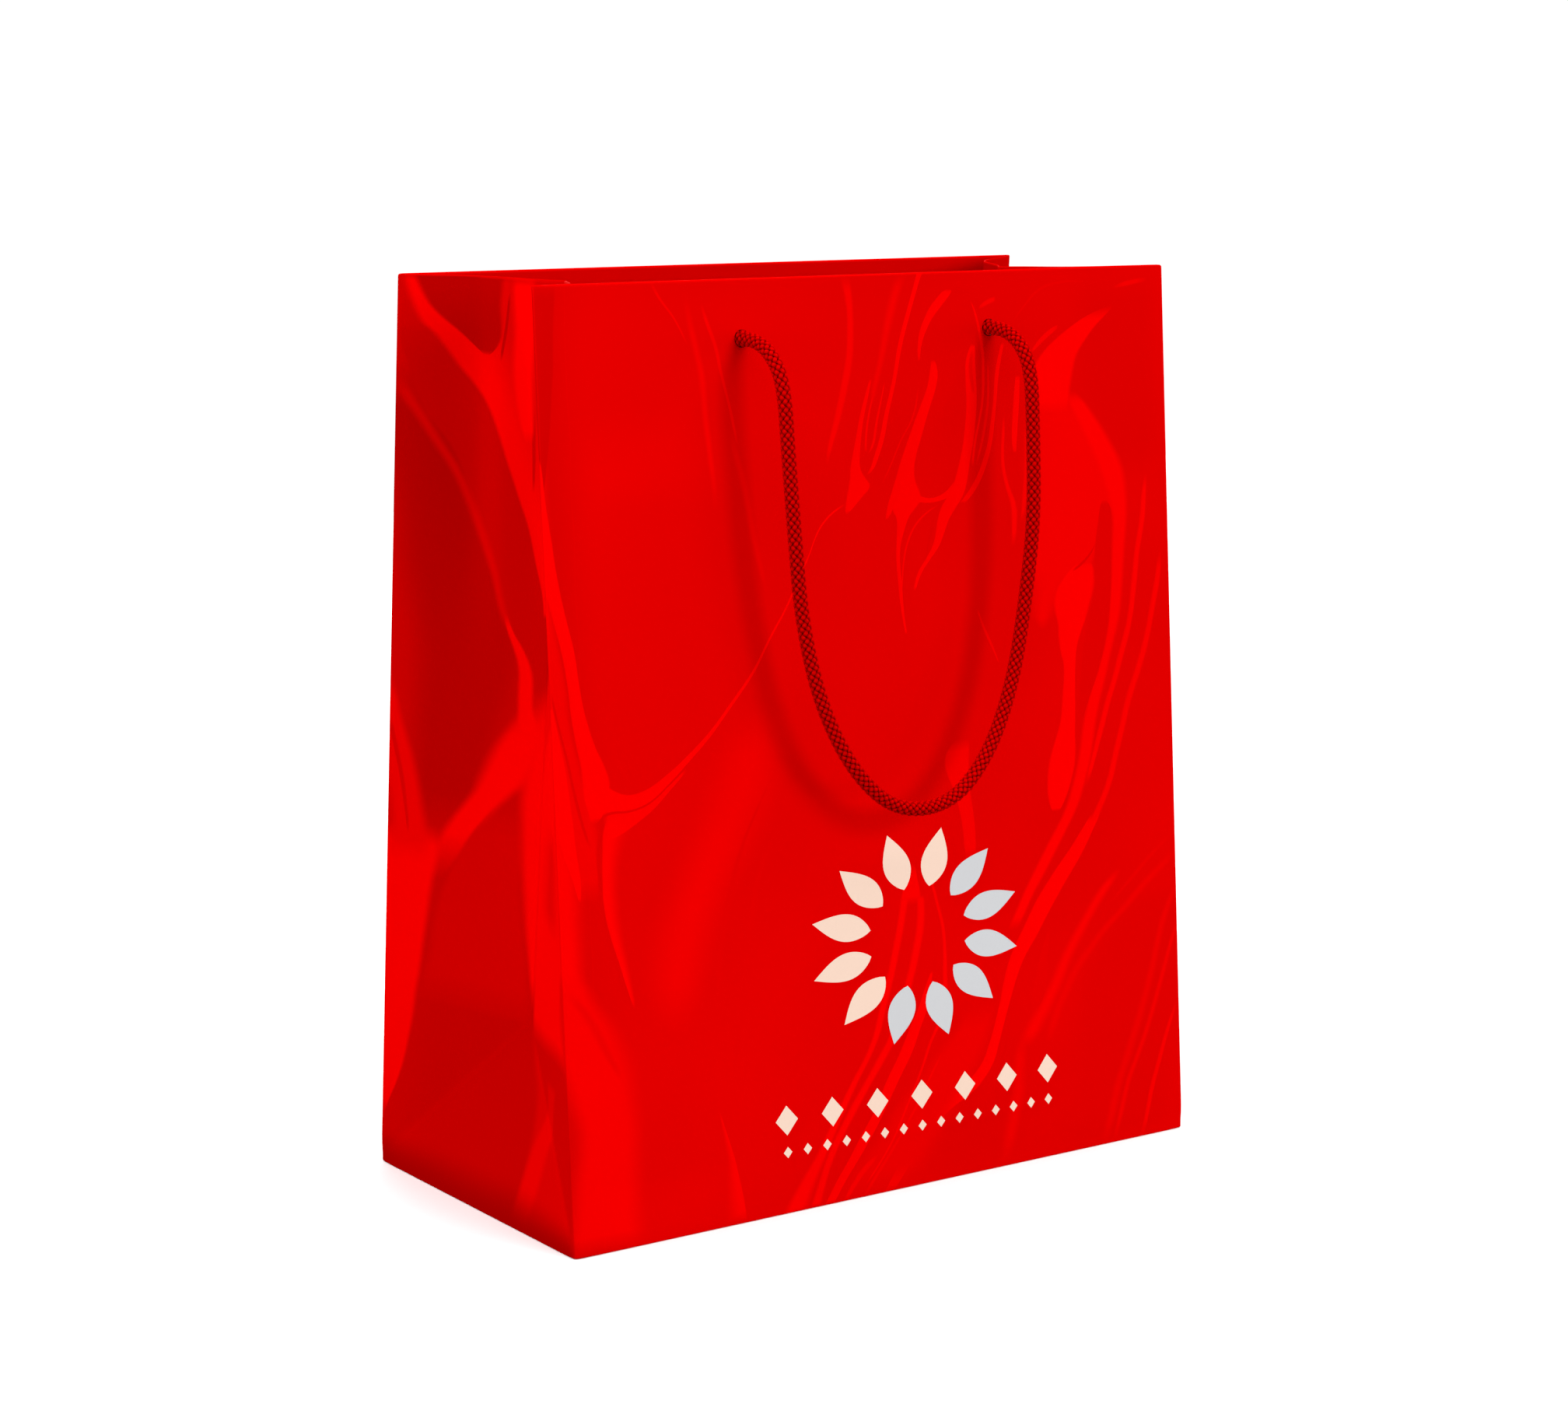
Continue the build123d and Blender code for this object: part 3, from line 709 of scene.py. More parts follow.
def rope_yarn(name, dark, light):
    """Dyed yarn: fine filaments along each strand, with a painted highlight where the strand comes up and painted shade
    where it dives.
    """
    nodes = Nodes(name)
    place = nodes.add("ShaderNodeUVMap", uv_map="paper").outputs["UV"]
    filaments = nodes.noise(nodes.vector_math("MULTIPLY", place, (60.0, 9000.0, 0.0)), 1.0)
    along = nodes.add("ShaderNodeSeparateXYZ", {0: place}).outputs[0]
    # painted highlight on each strand's crest and painted shade between the crests
    phase = nodes.math("MULTIPLY", along, 2 * pi / strand_period)
    crest_painted_light = nodes.math("MULTIPLY_ADD", nodes.math("COSINE", phase), 0.5, 0.5)
    crest_painted_light = nodes.math("MULTIPLY", nodes.math("POWER", crest_painted_light, 3.5), nodes.math("MULTIPLY_ADD", filaments, 0.6, 0.7))
    colour = nodes.mix(nodes.math("MINIMUM", crest_painted_light, 1.0), dark, light)
    normal = nodes.bump(filaments, 0.0001, 0.6)
    nodes.surface(Base_Color=colour, Roughness=0.6, Specular_IOR_Level=0.0, Normal=normal)
    return nodes.material


def ink(name, shade):
    """Opaque ink under the film."""
    nodes = Nodes(name)
    place = nodes.add("ShaderNodeTexCoord").outputs["Object"]
    speck = nodes.noise(place, 1500.0)
    colour = nodes.mix(speck, tuple(0.96 * c for c in shade), shade)
    nodes.surface(Base_Color=colour, Roughness=0.4, Specular_IOR_Level=0.1)
    return nodes.material


laminate = red_laminate()
inside = inside_paper()
board = grey_board()
yarn = rope_yarn("rope_yarn", (0.19, 0.0, 0.0), (0.56, 0.0, 0.0))
# the rope's core, in a near-black red that is painted shade between the strands
shade_dark_yarn_core = rope_yarn("rope_core_painted_shade", (0.07, 0.0, 0.0), (0.08, 0.0, 0.0))
cream_ink = ink("cream_ink", (0.84, 0.62, 0.50))
grey_ink = ink("grey_ink", (0.57, 0.575, 0.59))


# ---------------------------------------------------------------- rope handles

# Half of a handle's route: (across from the panel's middle, up the panel, out from its face), in metres
half_route = [
    (0.0500, 0.2860, -0.0018),
    (0.0500, 0.2860, 0.0070),
    (0.0500, 0.2808, 0.0165),
    (0.0498, 0.2715, 0.0220),
    (0.0494, 0.2500, 0.0226),
    (0.0484, 0.2230, 0.0230),
    (0.0454, 0.1960, 0.0210),
    (0.0392, 0.1690, 0.0208),
    (0.0275, 0.1460, 0.0216),
    (0.0110, 0.1316, 0.0220),
]
route = half_route + [(-across, up, out) for across, up, out in reversed(half_route)]
rope_length = 0.3826


def nurbs_line(points):
    """The smooth line of a NURBS spline with these control points."""
    curve = bpy.data.curves.new("line", "CURVE")
    curve.dimensions = "3D"
    curve.resolution_u = 32
    spline = curve.splines.new("NURBS")
    spline.points.add(len(points) - 1)
    for control, point in zip(spline.points, points):
        control.co = (*point, 1)
    spline.order_u = 3
    spline.use_endpoint_u = True
    mesh = curve_mesh(curve)
    line = np.array([v.co for v in mesh.vertices])
    bpy.data.meshes.remove(mesh)
    return line


def even_line(line, step):
    """The line with a point about every step along it."""
    run = np.concatenate([[0], np.cumsum(np.linalg.norm(np.diff(line, axis=0), axis=1))])
    places = np.linspace(0, run[-1], max(2, int(run[-1] / step) + 1))
    return np.stack([np.interp(places, run, line[:, k]) for k in range(3)], axis=1), places


def normalised(vectors):
    """The vectors, each with length 1."""
    return vectors / np.linalg.norm(vectors, axis=-1)[..., None]


def line_frames(line):
    """The tangent and two sides of a line at each point, with no twist from one to the next."""
    tangents = normalised(np.gradient(line, axis=0))
    sides = np.zeros_like(tangents)
    side = np.cross(tangents[0], (0.0, 0.0, 1.0) if abs(tangents[0][2]) < 0.9 else (1.0, 0.0, 0.0))
    for i, tangent in enumerate(tangents):
        side = side - tangent * (side @ tangent)
        side /= np.linalg.norm(side)
        sides[i] = side
    return tangents, sides, np.cross(tangents, sides)


ring_corners = 8  # of a strand's section, and of the core's
ring_angles = 2 * pi * np.arange(ring_corners) / ring_corners


def ring_skin(line, run, first, second, radii):
    """Vertices, faces and uvs of a skin of oval rings round a line, with a cap at each end. run is how far along each
    ring is, first and second are its two ways out, and radii are how far it reaches in each."""
    first_reach = radii[0] * np.cos(ring_angles)[None, :, None] * first[:, None]
    second_reach = radii[1] * np.sin(ring_angles)[None, :, None] * second[:, None]
    vertices = (line[:, None] + first_reach + second_reach).reshape(-1, 3)
    starts = np.arange(len(line) - 1)[:, None] * ring_corners
    low = (starts + np.arange(ring_corners)).ravel()
    after = (starts + (np.arange(ring_corners) + 1) % ring_corners).ravel()
    quads = np.stack([low, after, after + ring_corners, low + ring_corners], axis=1).tolist()
    end = (len(line) - 1) * ring_corners
    caps = [list(range(ring_corners))[::-1], list(range(end, end + ring_corners))]
    uvs = np.stack(np.broadcast_arrays(run[:, None], radii[0] * ring_angles[None]), axis=-1).reshape(-1, 2)
    return vertices, quads + caps, uvs


def braid(line, diameter, snug):
    """The skins of a round braid's strands, which run both ways round a line and go over and under each other. A snug
    one swells a little at its ends, where it is squeezed through its holes."""
    scale = diameter / rope_diameter
    lay, crossing = scale * strand_lay, scale * strand_period / 2  # crossing: from one strand crossed to the next
    half_strand, half_thickness, swing = 0.130 * diameter, 0.085 * diameter, 0.080 * diameter
    middle_radius = diameter / 2 - swing - half_thickness
    line, run = even_line(line, crossing / 4)
    _, first, second = line_frames(line)
    swell = snug * 0.34 * MM * np.exp(-((np.minimum(run, run[-1] - run) / (4 * MM)) ** 4))
    skins = []
    for way in (1, -1):
        radius = middle_radius + way * swing * np.cos(pi * run / crossing) + swell
        for strand in range(strands_each_way):
            angle = 2 * pi * strand / strands_each_way + way * 2 * pi * run / lay
            radial = np.cos(angle)[:, None] * first + np.sin(angle)[:, None] * second
            centre = line + radius[:, None] * radial
            along = normalised(np.gradient(centre, axis=0))
            across = normalised(np.cross(along, radial))
            outwards = np.cross(across, along)
            # a strand's painted crest highlights show where this is a whole number of periods, and each strand has its
            # own filaments
            crest_run = run / scale + (strand_period / 2 if way < 0 else 0) + 5 * strand * strand_period
            skins.append(ring_skin(centre, crest_run, across, outwards, (half_strand, half_thickness)))
    return skins


def rope_mesh(name, line, diameter, snug=False):
    """A braided rope with its core."""
    core_radius = 0.34 * diameter
    core_line, core_run = even_line(line, core_radius)
    _, first, second = line_frames(core_line)
    core = ring_skin(core_line, core_run, first, second, (core_radius, core_radius))
    skins = [*braid(line, diameter, snug), core]
    vertices, faces, uvs = [], [], []
    for skin_vertices, skin_faces, skin_uvs in skins:
        faces += [[len(vertices) + corner for corner in face] for face in skin_faces]
        vertices += list(skin_vertices)
        uvs += list(skin_uvs)
    rope = new_mesh(name, vertices, faces, (yarn, shade_dark_yarn_core), uvs=uvs)
    in_core = len(core[1])
    rope.data.polygons.foreach_set("material_index", [0] * (len(faces) - in_core) + [1] * in_core)
    return rope


swing_out = 22 * MM  # the loop hangs this far off the panel
loop_start = 21 * MM  # and starts this far below the holes

for name, placed in placements.items():
    route_points = placed(face_point(*np.array(route).T))
    line = nurbs_line(route_points)
    handle = rope_mesh(f"{name}_handle_rope", line, rope_diameter, snug=True)
    exit_point = placed(face_point(hole_spacing / 2, hole_height, 0))
    bend_start = placed(face_point(0, hole_height, 0))
    bend_end = placed(face_point(0, hole_height - loop_start, swing_out))
    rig.blend(handle, f"{name}_panel", f"{name}_handle", start=tuple(bend_start), end=tuple(bend_end))
    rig.replaces(handle, f"{name}_handle", f"{name}_left_bend", f"{name}_right_bend")
    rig.slot(handle, "rope")
    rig.cord(
        handle,
        exit=tuple(exit_point),
        length=rope_length,
        diameter=rope_diameter,
        far_end="object",
        stiffness="limp",
        lay="hanging",
        path=[tuple(p) for p in line],
    )


# ---------------------------------------------------------------- knots inside the hems

# The rope's tail from the middle of a right-hand knot: across, up, and out from the hem's face
tail_offsets = MM * np.array([(0, -2.5, 0.5), (1.5, -6.5, -1), (2.2, -11, -0.5), (1.2, -17, 1.2), (1.6, -22, 1.6)])


def knot_line():
    """An overhand knot's closed line, flat against the hem: across, up, and out from its middle."""
    t = np.linspace(0, 2 * pi, 120)
    ring, wave, rise = 3.7 * MM, 1.8 * MM, 2.4 * MM
    reach = ring + wave * np.cos(3 * t)
    return np.stack([reach * np.cos(2 * t), reach * np.sin(2 * t), rise * np.sin(3 * t)], axis=1)


for name, placed in placements.items():
    for local_side in (-1, 1):
        side = side_name(name, local_side)
        centre = np.array([local_side * hole_spacing / 2, hole_height, -hem_stack - knot_depth])
        loop = centre + knot_line() * (local_side, 1, 1)
        tail_route = centre + tail_offsets * (local_side, 1, 1)
        knot = rope_mesh(f"{name}_{side}_knot_rope", placed(face_point(*loop.T)), knot_rope)
        tail = rope_mesh(f"{name}_{side}_rope_tail", nurbs_line(placed(face_point(*tail_route.T))), tail_rope)
        for piece in (knot, tail):
            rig.ride(piece, f"{name}_panel")
            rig.slot(piece, "rope")
        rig.replaces(knot, f"{name}_{side}_knot")


# ---------------------------------------------------------------- the folded sheet


def panel_wave(across, up):
    """How far the panel's paper stands out: slow waves that die away at its folds and at the stiff hem."""
    x, z = across / width, up / height
    waves = (
        0.55 * np.sin(2 * pi * (0.9 * x + 0.55 * z) + 0.6)
        + 0.40 * np.sin(2 * pi * (1.7 * x - 0.8 * z) + 2.1)
        + 0.25 * np.sin(2 * pi * (2.6 * x + 1.9 * z) + 4.0)
    )
    still = smoothstep(0, 26 * MM, half_width - np.abs(across)) * smoothstep(0, 22 * MM, up)
    still = still * smoothstep(0, 30 * MM, height - hem_depth - up)
    return 1.0 * MM * waves * still


def gusset_wave(fraction, up, side):
    """How far a gusset half bellies into the bag between its fold (0) and its middle crease (1)."""
    belly = 6.0 * MM * np.sin(pi * fraction) ** 2 * smoothstep(cross_crease, height, up) ** 0.7
    ripple = 0.9 * MM * np.sin(pi * fraction) ** 2 * np.sin(2 * pi * (up / height * 1.6 + 0.8 * fraction) + side)
    return belly + ripple * smoothstep(cross_crease, cross_crease + 60 * MM, up)


def sharp_sheet(a, v, facing_back):
    """The outer face of the front half of the sheet, with sharp creases. a runs across the paper from the panel's
    middle, past the fold at half_width, to the gusset's middle crease at sheet_edge. v runs up the paper from the
    bottom fold, over the top edge at height, and down the inside of the hem; below 0 it is under the bottom."""
    side = np.where(a < 0, -1.0, 1.0)
    across = np.abs(a)
    past_crease = across > sheet_edge
    across = np.where(past_crease, 2 * sheet_edge - across, across)
    on_gusset = across > half_width
    fraction = np.clip((across - half_width) / half_gusset, 0, 1)

    boarded = smoothstep(0, board_start, half_width - across)
    stack = hem_folded + (hem_stack - hem_folded) * boarded
    turned = np.clip(v - height, 0, None)
    inwards = np.minimum(turned, stack)
    up = np.clip(v, 0, height) - np.clip(turned - stack, 0, None)
    under = np.clip(-v, 0, None)

    # where the hem's inner faces meet at the fold and at the middle crease
    inset = apex_inset + (mouth_inset - apex_inset) * (up - cross_crease) / (height - cross_crease)
    gap = depth / 2 - up * sin(lean)
    angle = np.arctan2(gap, np.maximum(inset, 1e-6))
    folded_in = np.minimum(inwards, hem_folded)
    fold_mitre = folded_in / np.tan(angle / 2)
    crease_mitre = folded_in / np.sin(angle)

    # the panel
    wave = panel_wave(a, up)
    panel_across = side * across * (1 - fold_mitre / half_width)
    on_panel = face_point(panel_across, up, wave * (v <= height) - inwards)
    on_panel[..., 0] -= under * a / half_width  # the turned-under lips meet in a mitre at the bottom's corners
    on_panel[..., 1] += under

    # the upper gusset: from the side fold to the middle crease
    fold = face_point(side * (half_width - fold_mitre), up, -folded_in)
    level = np.clip((up - cross_crease) / (height - cross_crease), 0, 1)
    crease_z = apex_height + level * (height * cos(lean) - crease_drop - apex_height)
    crease = np.stack([side * (half_width - inset - crease_mitre), 0 * a, crease_z], axis=-1)
    upper = fold + fraction[..., None] * (crease - fold)
    inner = np.stack([-side * np.sin(angle), -np.cos(angle), 0 * a], axis=-1)
    chord = np.hypot(inset, gap)
    slid_in = fold_mitre * np.cos(angle) + folded_in * np.sin(angle)
    slid_out = crease_mitre * np.cos(angle)
    belly_place = (slid_in + fraction * (chord - slid_in + slid_out)) / chord
    upper = upper + gusset_wave(belly_place, up, side + 2 * facing_back)[..., None] * inner

    # the lower gusset: a foot triangle below the slanting crease and a corner triangle above it
    rise = np.clip(up / cross_crease, 0, 1)
    corner = np.stack([side * half_width, 0 * a - depth / 2, 0 * a], axis=-1)
    middle = np.stack([side * half_width, 0 * a, 0 * a], axis=-1)
    fold_end = face_point(side * half_width, cross_crease, 0.0)
    apex = np.stack([side * (half_width - apex_inset), 0 * a, 0 * a + apex_height], axis=-1)
    t, r = fraction[..., None], rise[..., None]
    foot = corner + t * (middle - corner) + r * (apex - middle)
    above = corner + r * (fold_end - corner) + t * (apex - fold_end)
    lower = np.where(r < t, foot, above)
    lower[..., 0] -= side * under
    lower[..., 1] += under * (1 - fraction)

    gusset = np.where((up > cross_crease)[..., None], upper, lower)
    point = np.where(on_gusset[..., None], gusset, on_panel)
    point[..., 1] = np.where(past_crease, -point[..., 1], point[..., 1])
    return point


def sheet_point(a, v, facing_back):
    """The sheet with its creases softened: each point is a mean over the paper close to it. The bag's lowest corners
    are rounder than its other creases, and its bottom fold is pressed sharper."""
    corner_distance = np.hypot(np.abs(a) - half_width, v)
    reach = fold_soften * (1 + 1.6 * np.exp(-((corner_distance / (5 * MM)) ** 2)))
    reach_up = reach * (1 - 0.75 * np.exp(-((v / (4 * MM)) ** 2)))
    offsets = (-1, -0.5, 0, 0.5, 1)
    total, weights = 0, 0
    for i in offsets:
        for j in offsets:
            weight = (1.25 - abs(i)) * (1.25 - abs(j))
            total = total + weight * sharp_sheet(a + i * reach, v + j * reach_up, facing_back)
            weights += weight
    return total / weights


def spaced(low, high, step):
    """Even stops from low to high, about step apart."""
    return np.linspace(low, high, max(2, int(round((high - low) / step)) + 1))


def stops(start, *runs):
    """Stops from start through runs of (end, step), each run even."""
    places = []
    for end, step in runs:
        places.append(spaced(start, end, step))
        start = end
    return np.unique(np.round(np.concatenate(places), 7))


def sheet_stops():
    """The grid's stops across and up the paper: close at the folds, and whole numbers of cells round the holes."""
    block = 6 * MM  # half the square that each punched hole is cut from
    wide, medium, cell, fine = 2.6 * MM, 2.1 * MM, 2 * MM, 0.4 * MM  # the steps between stops
    over = height + hem_stack
    turned_hole = over + (height - hole_height)
    half_columns = stops(
        0,
        (hole_spacing / 2 - block, wide),
        (hole_spacing / 2 + block, cell),
        (half_width - near_fold, wide),
        (half_width + near_fold, fine),
        (sheet_edge - near_fold, medium),
        (sheet_edge, fine),
    )
    rows = stops(
        -turned_under,
        (turned_under, 0.2 * MM),
        (cross_crease - near_fold, medium),
        (cross_crease + near_fold, 0.6 * MM),
        (hole_height - block, wide),
        (hole_height + block, cell),
        (height - near_fold, wide),
        (over + near_fold, 0.35 * MM),
        (turned_hole - block, wide),
        (turned_hole + block, cell),
        (over + hem_depth, wide),
    )
    return np.unique(np.concatenate([-half_columns, half_columns])), rows, block, turned_hole


def punched_grid():
    """The sheet's flat pattern: points (a, v) and faces, with the four hole blanks cut out and rounded."""
    columns, rows, block, turned_hole = sheet_stops()
    grid_a, grid_v = np.meshgrid(columns, rows)
    points = list(zip(grid_a.ravel(), grid_v.ravel()))
    wide = len(columns)
    centres = [(side * hole_spacing / 2, v) for side in (-1, 1) for v in (hole_height, turned_hole)]
    faces = []
    for j in range(len(rows) - 1):
        for i in range(wide - 1):
            middle = ((columns[i] + columns[i + 1]) / 2, (rows[j] + rows[j + 1]) / 2)
            if any(abs(middle[0] - a) < block and abs(middle[1] - v) < block for a, v in centres):
                continue
            corner = j * wide + i
            faces.append([corner, corner + 1, corner + wide + 1, corner + wide])
    tiny = 0.01 * MM  # for comparing stops
    for a, v in centres:
        inside_columns = [i for i, x in enumerate(columns) if abs(x - a) < block + tiny]
        inside_rows = [j for j, y in enumerate(rows) if abs(y - v) < block + tiny]
        left, right, low, high = inside_columns[0], inside_columns[-1], inside_rows[0], inside_rows[-1]
        around = [low * wide + i for i in range(left, right)]
        around += [j * wide + right for j in range(low, high)]
        around += [high * wide + i for i in range(right, left, -1)]
        around += [j * wide + left for j in range(high, low, -1)]
        previous = around
        for inward in (0.35, 0.7, 0.92, 1.0):
            ring = []
            for index in around:
                offset = np.array(points[index]) - (a, v)
                rim = offset / np.linalg.norm(offset) * hole_radius
                ring.append(len(points))
                points.append(tuple((a, v) + offset + inward * (rim - offset)))
            for k in range(len(ring)):
                after = (k + 1) % len(ring)
                faces.append([previous[k], previous[after], ring[after], ring[k]])
            previous = ring
    return np.array(points), np.array(faces)


def print_places(corners):
    """Where faces' corners fall in the print, which starts again at each panel's right fold."""
    past_right_fold = corners[..., 0].mean(axis=1) > half_width
    start_again = np.where(past_right_fold, width + depth, 0)
    return corners - np.stack([start_again, 0 * start_again], axis=-1)[:, None]


def bend_line(name, side=0):
    """Where the sheet turns from the still bottom to a panel. On the panel the line runs along its outward direction.
    On a gusset it also runs out to the side, so that the paper's layers keep their order as the mouth shuts."""
    placed = placements[name]
    outwards = placed(face_point(0, 0, 1.0)) - placed(face_point(0, 0, 0.0))
    deep, aside = 2.2 * MM, 2.5 * MM  # the fold itself turns with the panel
    if side == 0:
        on_face = placed(face_point(0, height / 2, -deep))
        return {"start": tuple(on_face - (mouth_depth / 2 - deep) * outwards), "end": tuple(on_face)}
    on_fold = placed(face_point(side * (half_width - aside), height / 2, -deep))
    still_creases = [[mouth_inset - aside, mouth_depth / 2 - deep], [-aside, depth / 2 - deep]]
    aside_rate, outwards_rate = np.linalg.solve(still_creases, [1, 1])
    turning = aside_rate * side * placed(np.array([1.0, 0, 0])) + outwards_rate * outwards
    return {"start": tuple(on_fold - turning / (turning @ turning)), "end": tuple(on_fold)}


def thickened(piece):
    """Gives a mesh sheet its paper's thickness, inwards from its outer face."""
    thickness = piece.modifiers.new("thickness", "SOLIDIFY")
    thickness.thickness = paper
    thickness.offset = -1
    thickness.material_offset = 1
    thickness.use_even_offset = False
    return apply_modifiers(piece)


def folded_paper(name, faces, facing_back):
    """A piece of the sheet, of these faces of its flat pattern, with the paper's thickness."""
    used, where = np.unique(faces, return_inverse=True)
    placed = placements["back" if facing_back else "front"]
    points = placed(sheet_point(*pattern[used].T, facing_back))
    uvs = print_places(pattern[faces])
    piece = new_mesh(name, points, where.reshape(faces.shape), (laminate, inside), corner_uvs=uvs)
    thickened(piece).data.set_sharp_from_angle(angle=radians(60))
    return piece


pattern, pattern_faces = punched_grid()
face_middles = pattern[pattern_faces][:, :, 0].mean(axis=1)
past_fold = half_width + near_fold  # the sheet is divided here, so that each gusset half bends along its own line
for facing_back, name in enumerate(("front", "back")):
    sheet = folded_paper(f"{name}_sheet", pattern_faces[np.abs(face_middles) < past_fold], facing_back)
    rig.blend(sheet, "base", f"{name}_panel", **bend_line(name))
    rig.replaces(sheet, f"{name}_panel", f"{name}_hem")
    for local_side in (-1, 1):
        side = side_name(name, local_side)
        faces = pattern_faces[face_middles * local_side > past_fold]
        gusset = folded_paper(f"{side}_gusset_{name}_sheet", faces, facing_back)
        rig.blend(gusset, "base", f"{name}_panel", **bend_line(name, local_side))
        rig.replaces(gusset, f"{side}_gusset_{name}_half", f"{side}_gusset_{name}_corner")
        if name == "front":
            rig.replaces(gusset, f"{side}_gusset_foot")


# ---------------------------------------------------------------- the glued seam


def inside_back(a, v, inwards):
    """Points a little way inside the back sheet's outer face."""
    step = 0.5 * MM
    along = sheet_point(a + step, v, 1) - sheet_point(a - step, v, 1)
    upwards = sheet_point(a, v + step, 1) - sheet_point(a, v - step, 1)
    return turned_round(sheet_point(a, v, 1) - inwards * normalised(np.cross(along, upwards)))


seam_width = 18 * MM
seam_start = 5.2 * MM - half_width  # beside the right gusset, which is at the left of the back panel's own face
seam_margin = 3.9 * MM  # from the bottom fold, and from the hem
seam_a, seam_v = np.meshgrid(
    spaced(seam_start, seam_start + seam_width, 2.1 * MM),
    spaced(seam_margin, height - hem_depth - seam_margin, 2.6 * MM),
)
seam_points = inside_back(seam_a, seam_v, paper + 0.04 * MM).reshape(-1, 3)
indices = np.arange(seam_a.size).reshape(seam_a.shape)
seam_faces = np.stack([indices[:-1, :-1], indices[:-1, 1:], indices[1:, 1:], indices[1:, :-1]], axis=-1).reshape(-1, 4)
seam = thickened(new_mesh("seam_flap_paper", seam_points, seam_faces, (inside,)))
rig.blend(seam, "base", "back_panel", **bend_line("back"))
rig.replaces(seam, "seam_flap")


# ---------------------------------------------------------------- CAD nodes that stay

finishes = {f"bottom_{side}_flap": laminate for side in ("front", "back", "left", "right")}
finishes |= {f"{place}_board": board for place in ("bottom", "front", "back")}
for node, material in finishes.items():
    mesh = frame["nodes"][node].data
    mesh.materials.clear()
    mesh.materials.append(material)


# ---------------------------------------------------------------- the print

print_centre = (11.5 * MM, 85 * MM)
print_reach = (44 * MM, 36.5 * MM)
ink_lift = 0.03 * MM  # the ink lies this much over the paper


def printed(name, outlines, material):
    """Ink shapes on the front panel: outlines of (across, up) points, filled and laid just over the paper. They are
    cut every few millimetres, so that they follow its waves."""
    curve = bpy.data.curves.new(name, "CURVE")
    curve.dimensions = "2D"
    curve.fill_mode = "BOTH"
    for outline in outlines:
        spline = curve.splines.new("POLY")
        spline.points.add(len(outline) - 1)
        for control, (x, y) in zip(spline.points, outline):
            control.co = (x, y, 0, 1)
        spline.use_cyclic_u = True
    mesh = curve_mesh(curve)
    work = bmesh.new()
    work.from_mesh(mesh)
    for axis, normal in enumerate((Vector((1, 0, 0)), Vector((0, 1, 0)))):
        reach = [v.co[axis] for v in work.verts]
        for cut in np.arange(min(reach), max(reach), 4 * MM)[1:]:
            geometry = work.verts[:] + work.edges[:] + work.faces[:]
            bmesh.ops.bisect_plane(work, geom=geometry, plane_co=normal * cut, plane_no=normal)
    across, up = np.array([v.co[:2] for v in work.verts]).T
    laid = sheet_point(across, up, 0) + ink_lift * np.array([0, -cos(lean), sin(lean)])
    for vertex, place in zip(work.verts, laid):
        vertex.co = place
    bmesh.ops.recalc_face_normals(work, faces=work.faces)
    if sum(f.normal.y for f in work.faces) > 0:
        bmesh.ops.reverse_faces(work, faces=work.faces)
    work.to_mesh(mesh)
    work.free()
    mesh.materials.clear()
    mesh.materials.append(material)
    mesh.shade_smooth()
    mesh.name = name
    piece = bpy.data.objects.new(name, mesh)
    collection.objects.link(piece)
    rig.ride(piece, "front_panel")
    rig.slot(piece, "red_paper")


def leaf(direction):
    """A slim leaf's outline, pointing out from the wreath's centre."""
    inner, outer, spread, steps = 0.46, 1.0, 0.125, 20
    outline = []
    for way in (1, -1):
        for k in range(steps):
            t = k / steps if way > 0 else 1 - k / steps
            reach = inner + (outer - inner) * t
            swell = spread * sin(pi * t ** 0.8) * way
            outline.append((
                print_centre[0] + print_reach[0] * (reach * cos(direction) - swell * sin(direction)),
                print_centre[1] + print_reach[1] * (reach * sin(direction) + swell * cos(direction)),
            ))
    return outline


leaves = 12
for name, material, first in (("cream", cream_ink, 3), ("grey", grey_ink, -3)):
    outlines = [leaf(2 * pi * (first + k - 0.5) / leaves) for k in range(leaves // 2)]
    printed(f"printed_{name}_leaves", outlines, material)


def diamonds(count, y, half_wide, half_high):
    """A row of diamonds under the wreath."""
    return [
        [(x - half_wide, y), (x, y - half_high), (x + half_wide, y), (x, y + half_high)]
        for x in np.linspace(-44 * MM, 66 * MM, count)
    ]


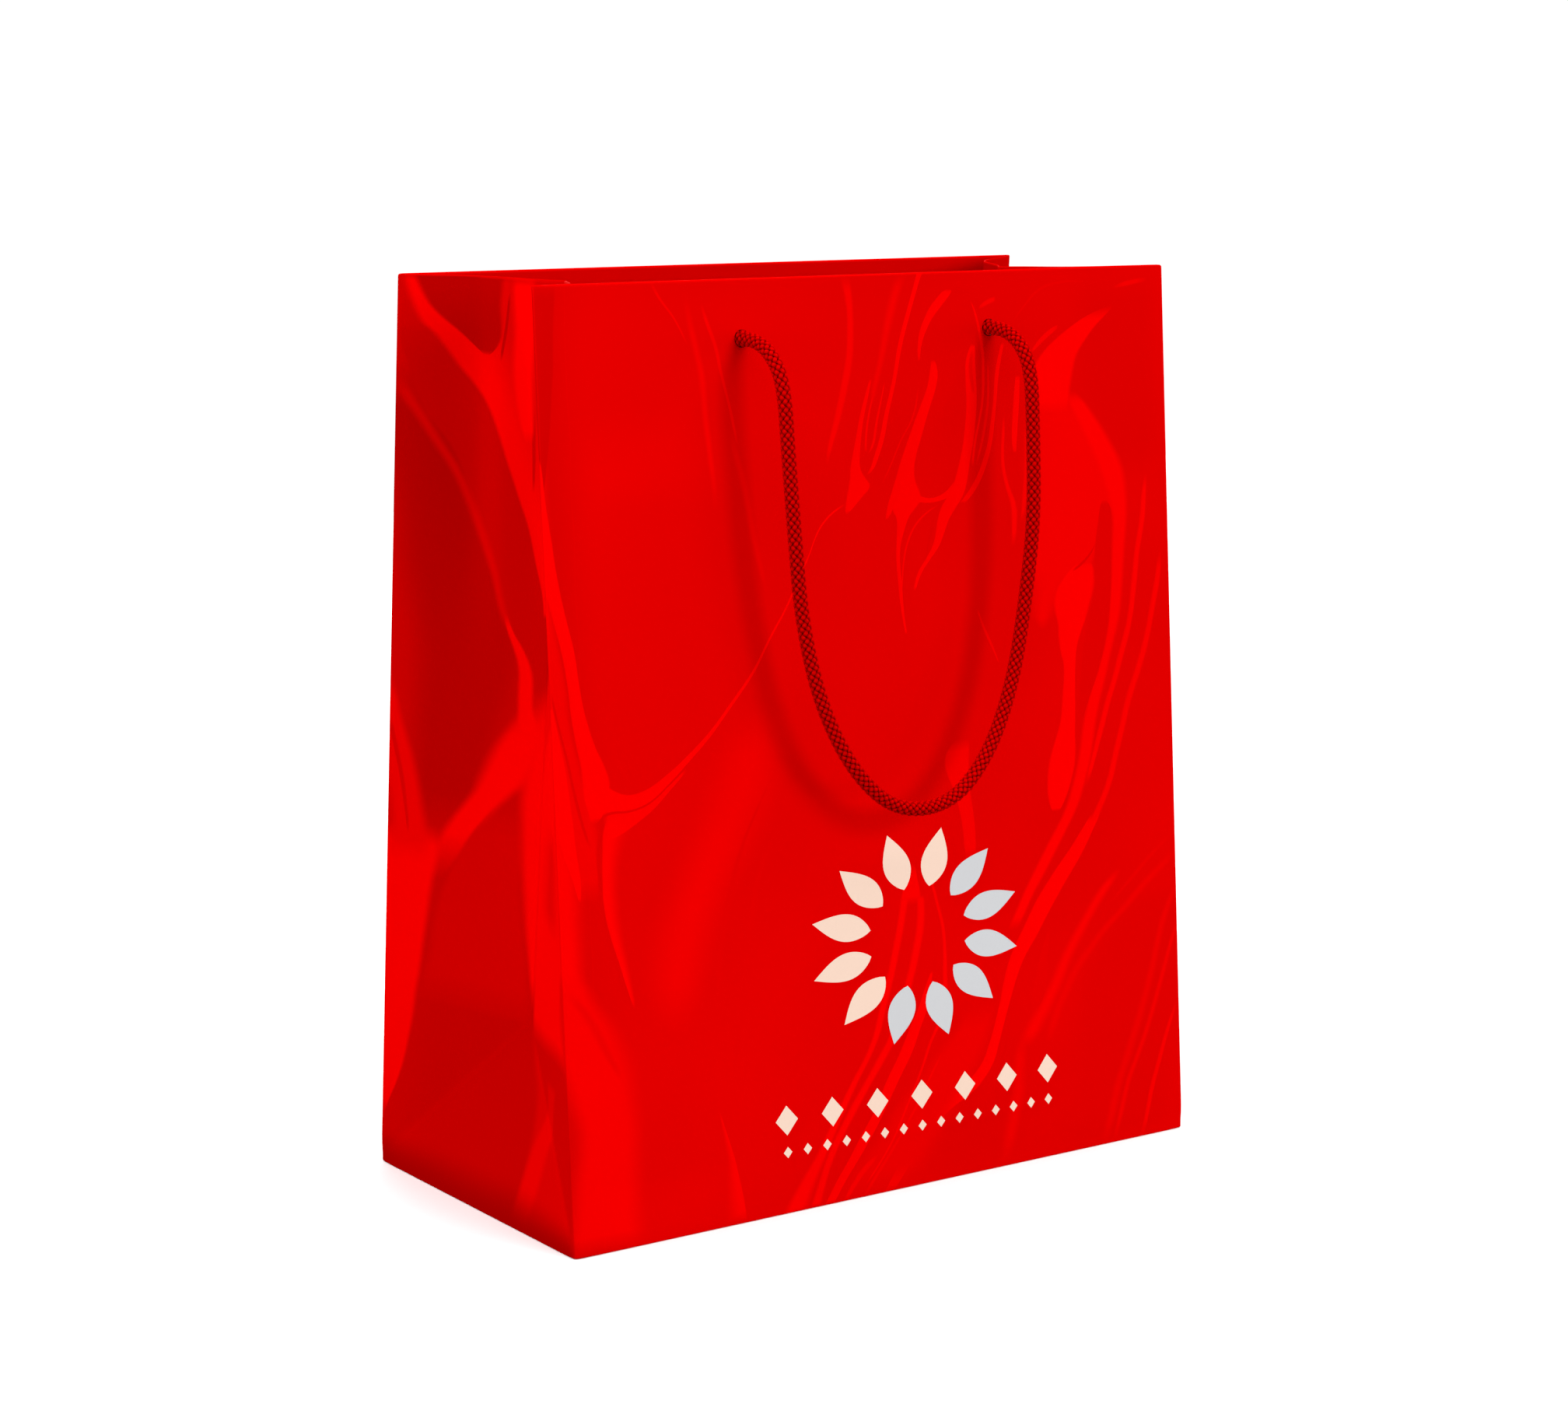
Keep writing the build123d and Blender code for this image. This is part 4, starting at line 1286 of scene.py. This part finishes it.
printed("printed_diamonds", diamonds(7, 31 * MM, 4.4 * MM, 5.0 * MM), cream_ink)
printed("printed_small_diamonds", diamonds(15, 20.3 * MM, 1.7 * MM, 1.9 * MM), cream_ink)


# ---------------------------------------------------------------- stage and light

floor_half = 1.7
floor_material = Nodes("studio_floor")
floor_material.surface(Base_Color=(0.93, 0.93, 0.93, 1), Roughness=0.9, Specular_IOR_Level=0.1)
floor_corners = [(x * floor_half, y * floor_half, 0) for x, y in ((-1, -1), (1, -1), (1, 1), (-1, 1))]
floor = new_mesh("studio_floor", floor_corners, [(0, 1, 2, 3)], (floor_material.material,), smooth=False)
floor.location.z = cad_box[0][2] - 0.0002
floor.visible_diffuse = False  # the soft light stays as it is set, with no glow from the white floor
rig.stage(floor)


def softbox(name, place, size, power, aim_at=(0, 0, 0.15)):
    """A square area light at a place, turned to face a point."""
    data = bpy.data.lights.new(name, "AREA")
    data.shape = "RECTANGLE"
    data.size, data.size_y = size
    data.energy = power
    light = bpy.data.objects.new(name, data)
    light.location = place
    light.rotation_euler = (Vector(place) - Vector(aim_at)).to_track_quat("Z", "Y").to_euler()
    collection.objects.link(light)


softbox("key", (0.30, -1.62, 0.70), (0.62, 0.62), 13.3)
softbox("overhead", (0.0, 0.0, 3.0), (5.0, 5.0), 160, aim_at=(0, 0, 0))
softbox("left_fill", (-2.2, -0.2, 0.9), (1.6, 1.4), 23.5)
softbox("right_fill", (1.9, -0.75, 0.5), (1.0, 1.0), 7)
softbox("back_fill", (1.0, 2.2, 1.0), (1.6, 1.4), 20)

world = bpy.data.worlds.new("studio")
world.use_nodes = True
sky = Tree(world.node_tree)
seen = sky.add("ShaderNodeLightPath").outputs["Is Camera Ray"]
background = world.node_tree.nodes["Background"]
sky.set(background, "Color", (1, 1, 1, 1))
sky.set(background, "Strength", sky.map_range(seen, 0.45, 1.05))
bpy.context.scene.world = world
bpy.context.scene.view_settings.view_transform = "Standard"

new_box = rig.bounds()
with open("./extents.json", "w") as size_file:
    json.dump({"cad": [list(c) for c in cad_box], "visual": [list(c) for c in new_box]}, size_file)
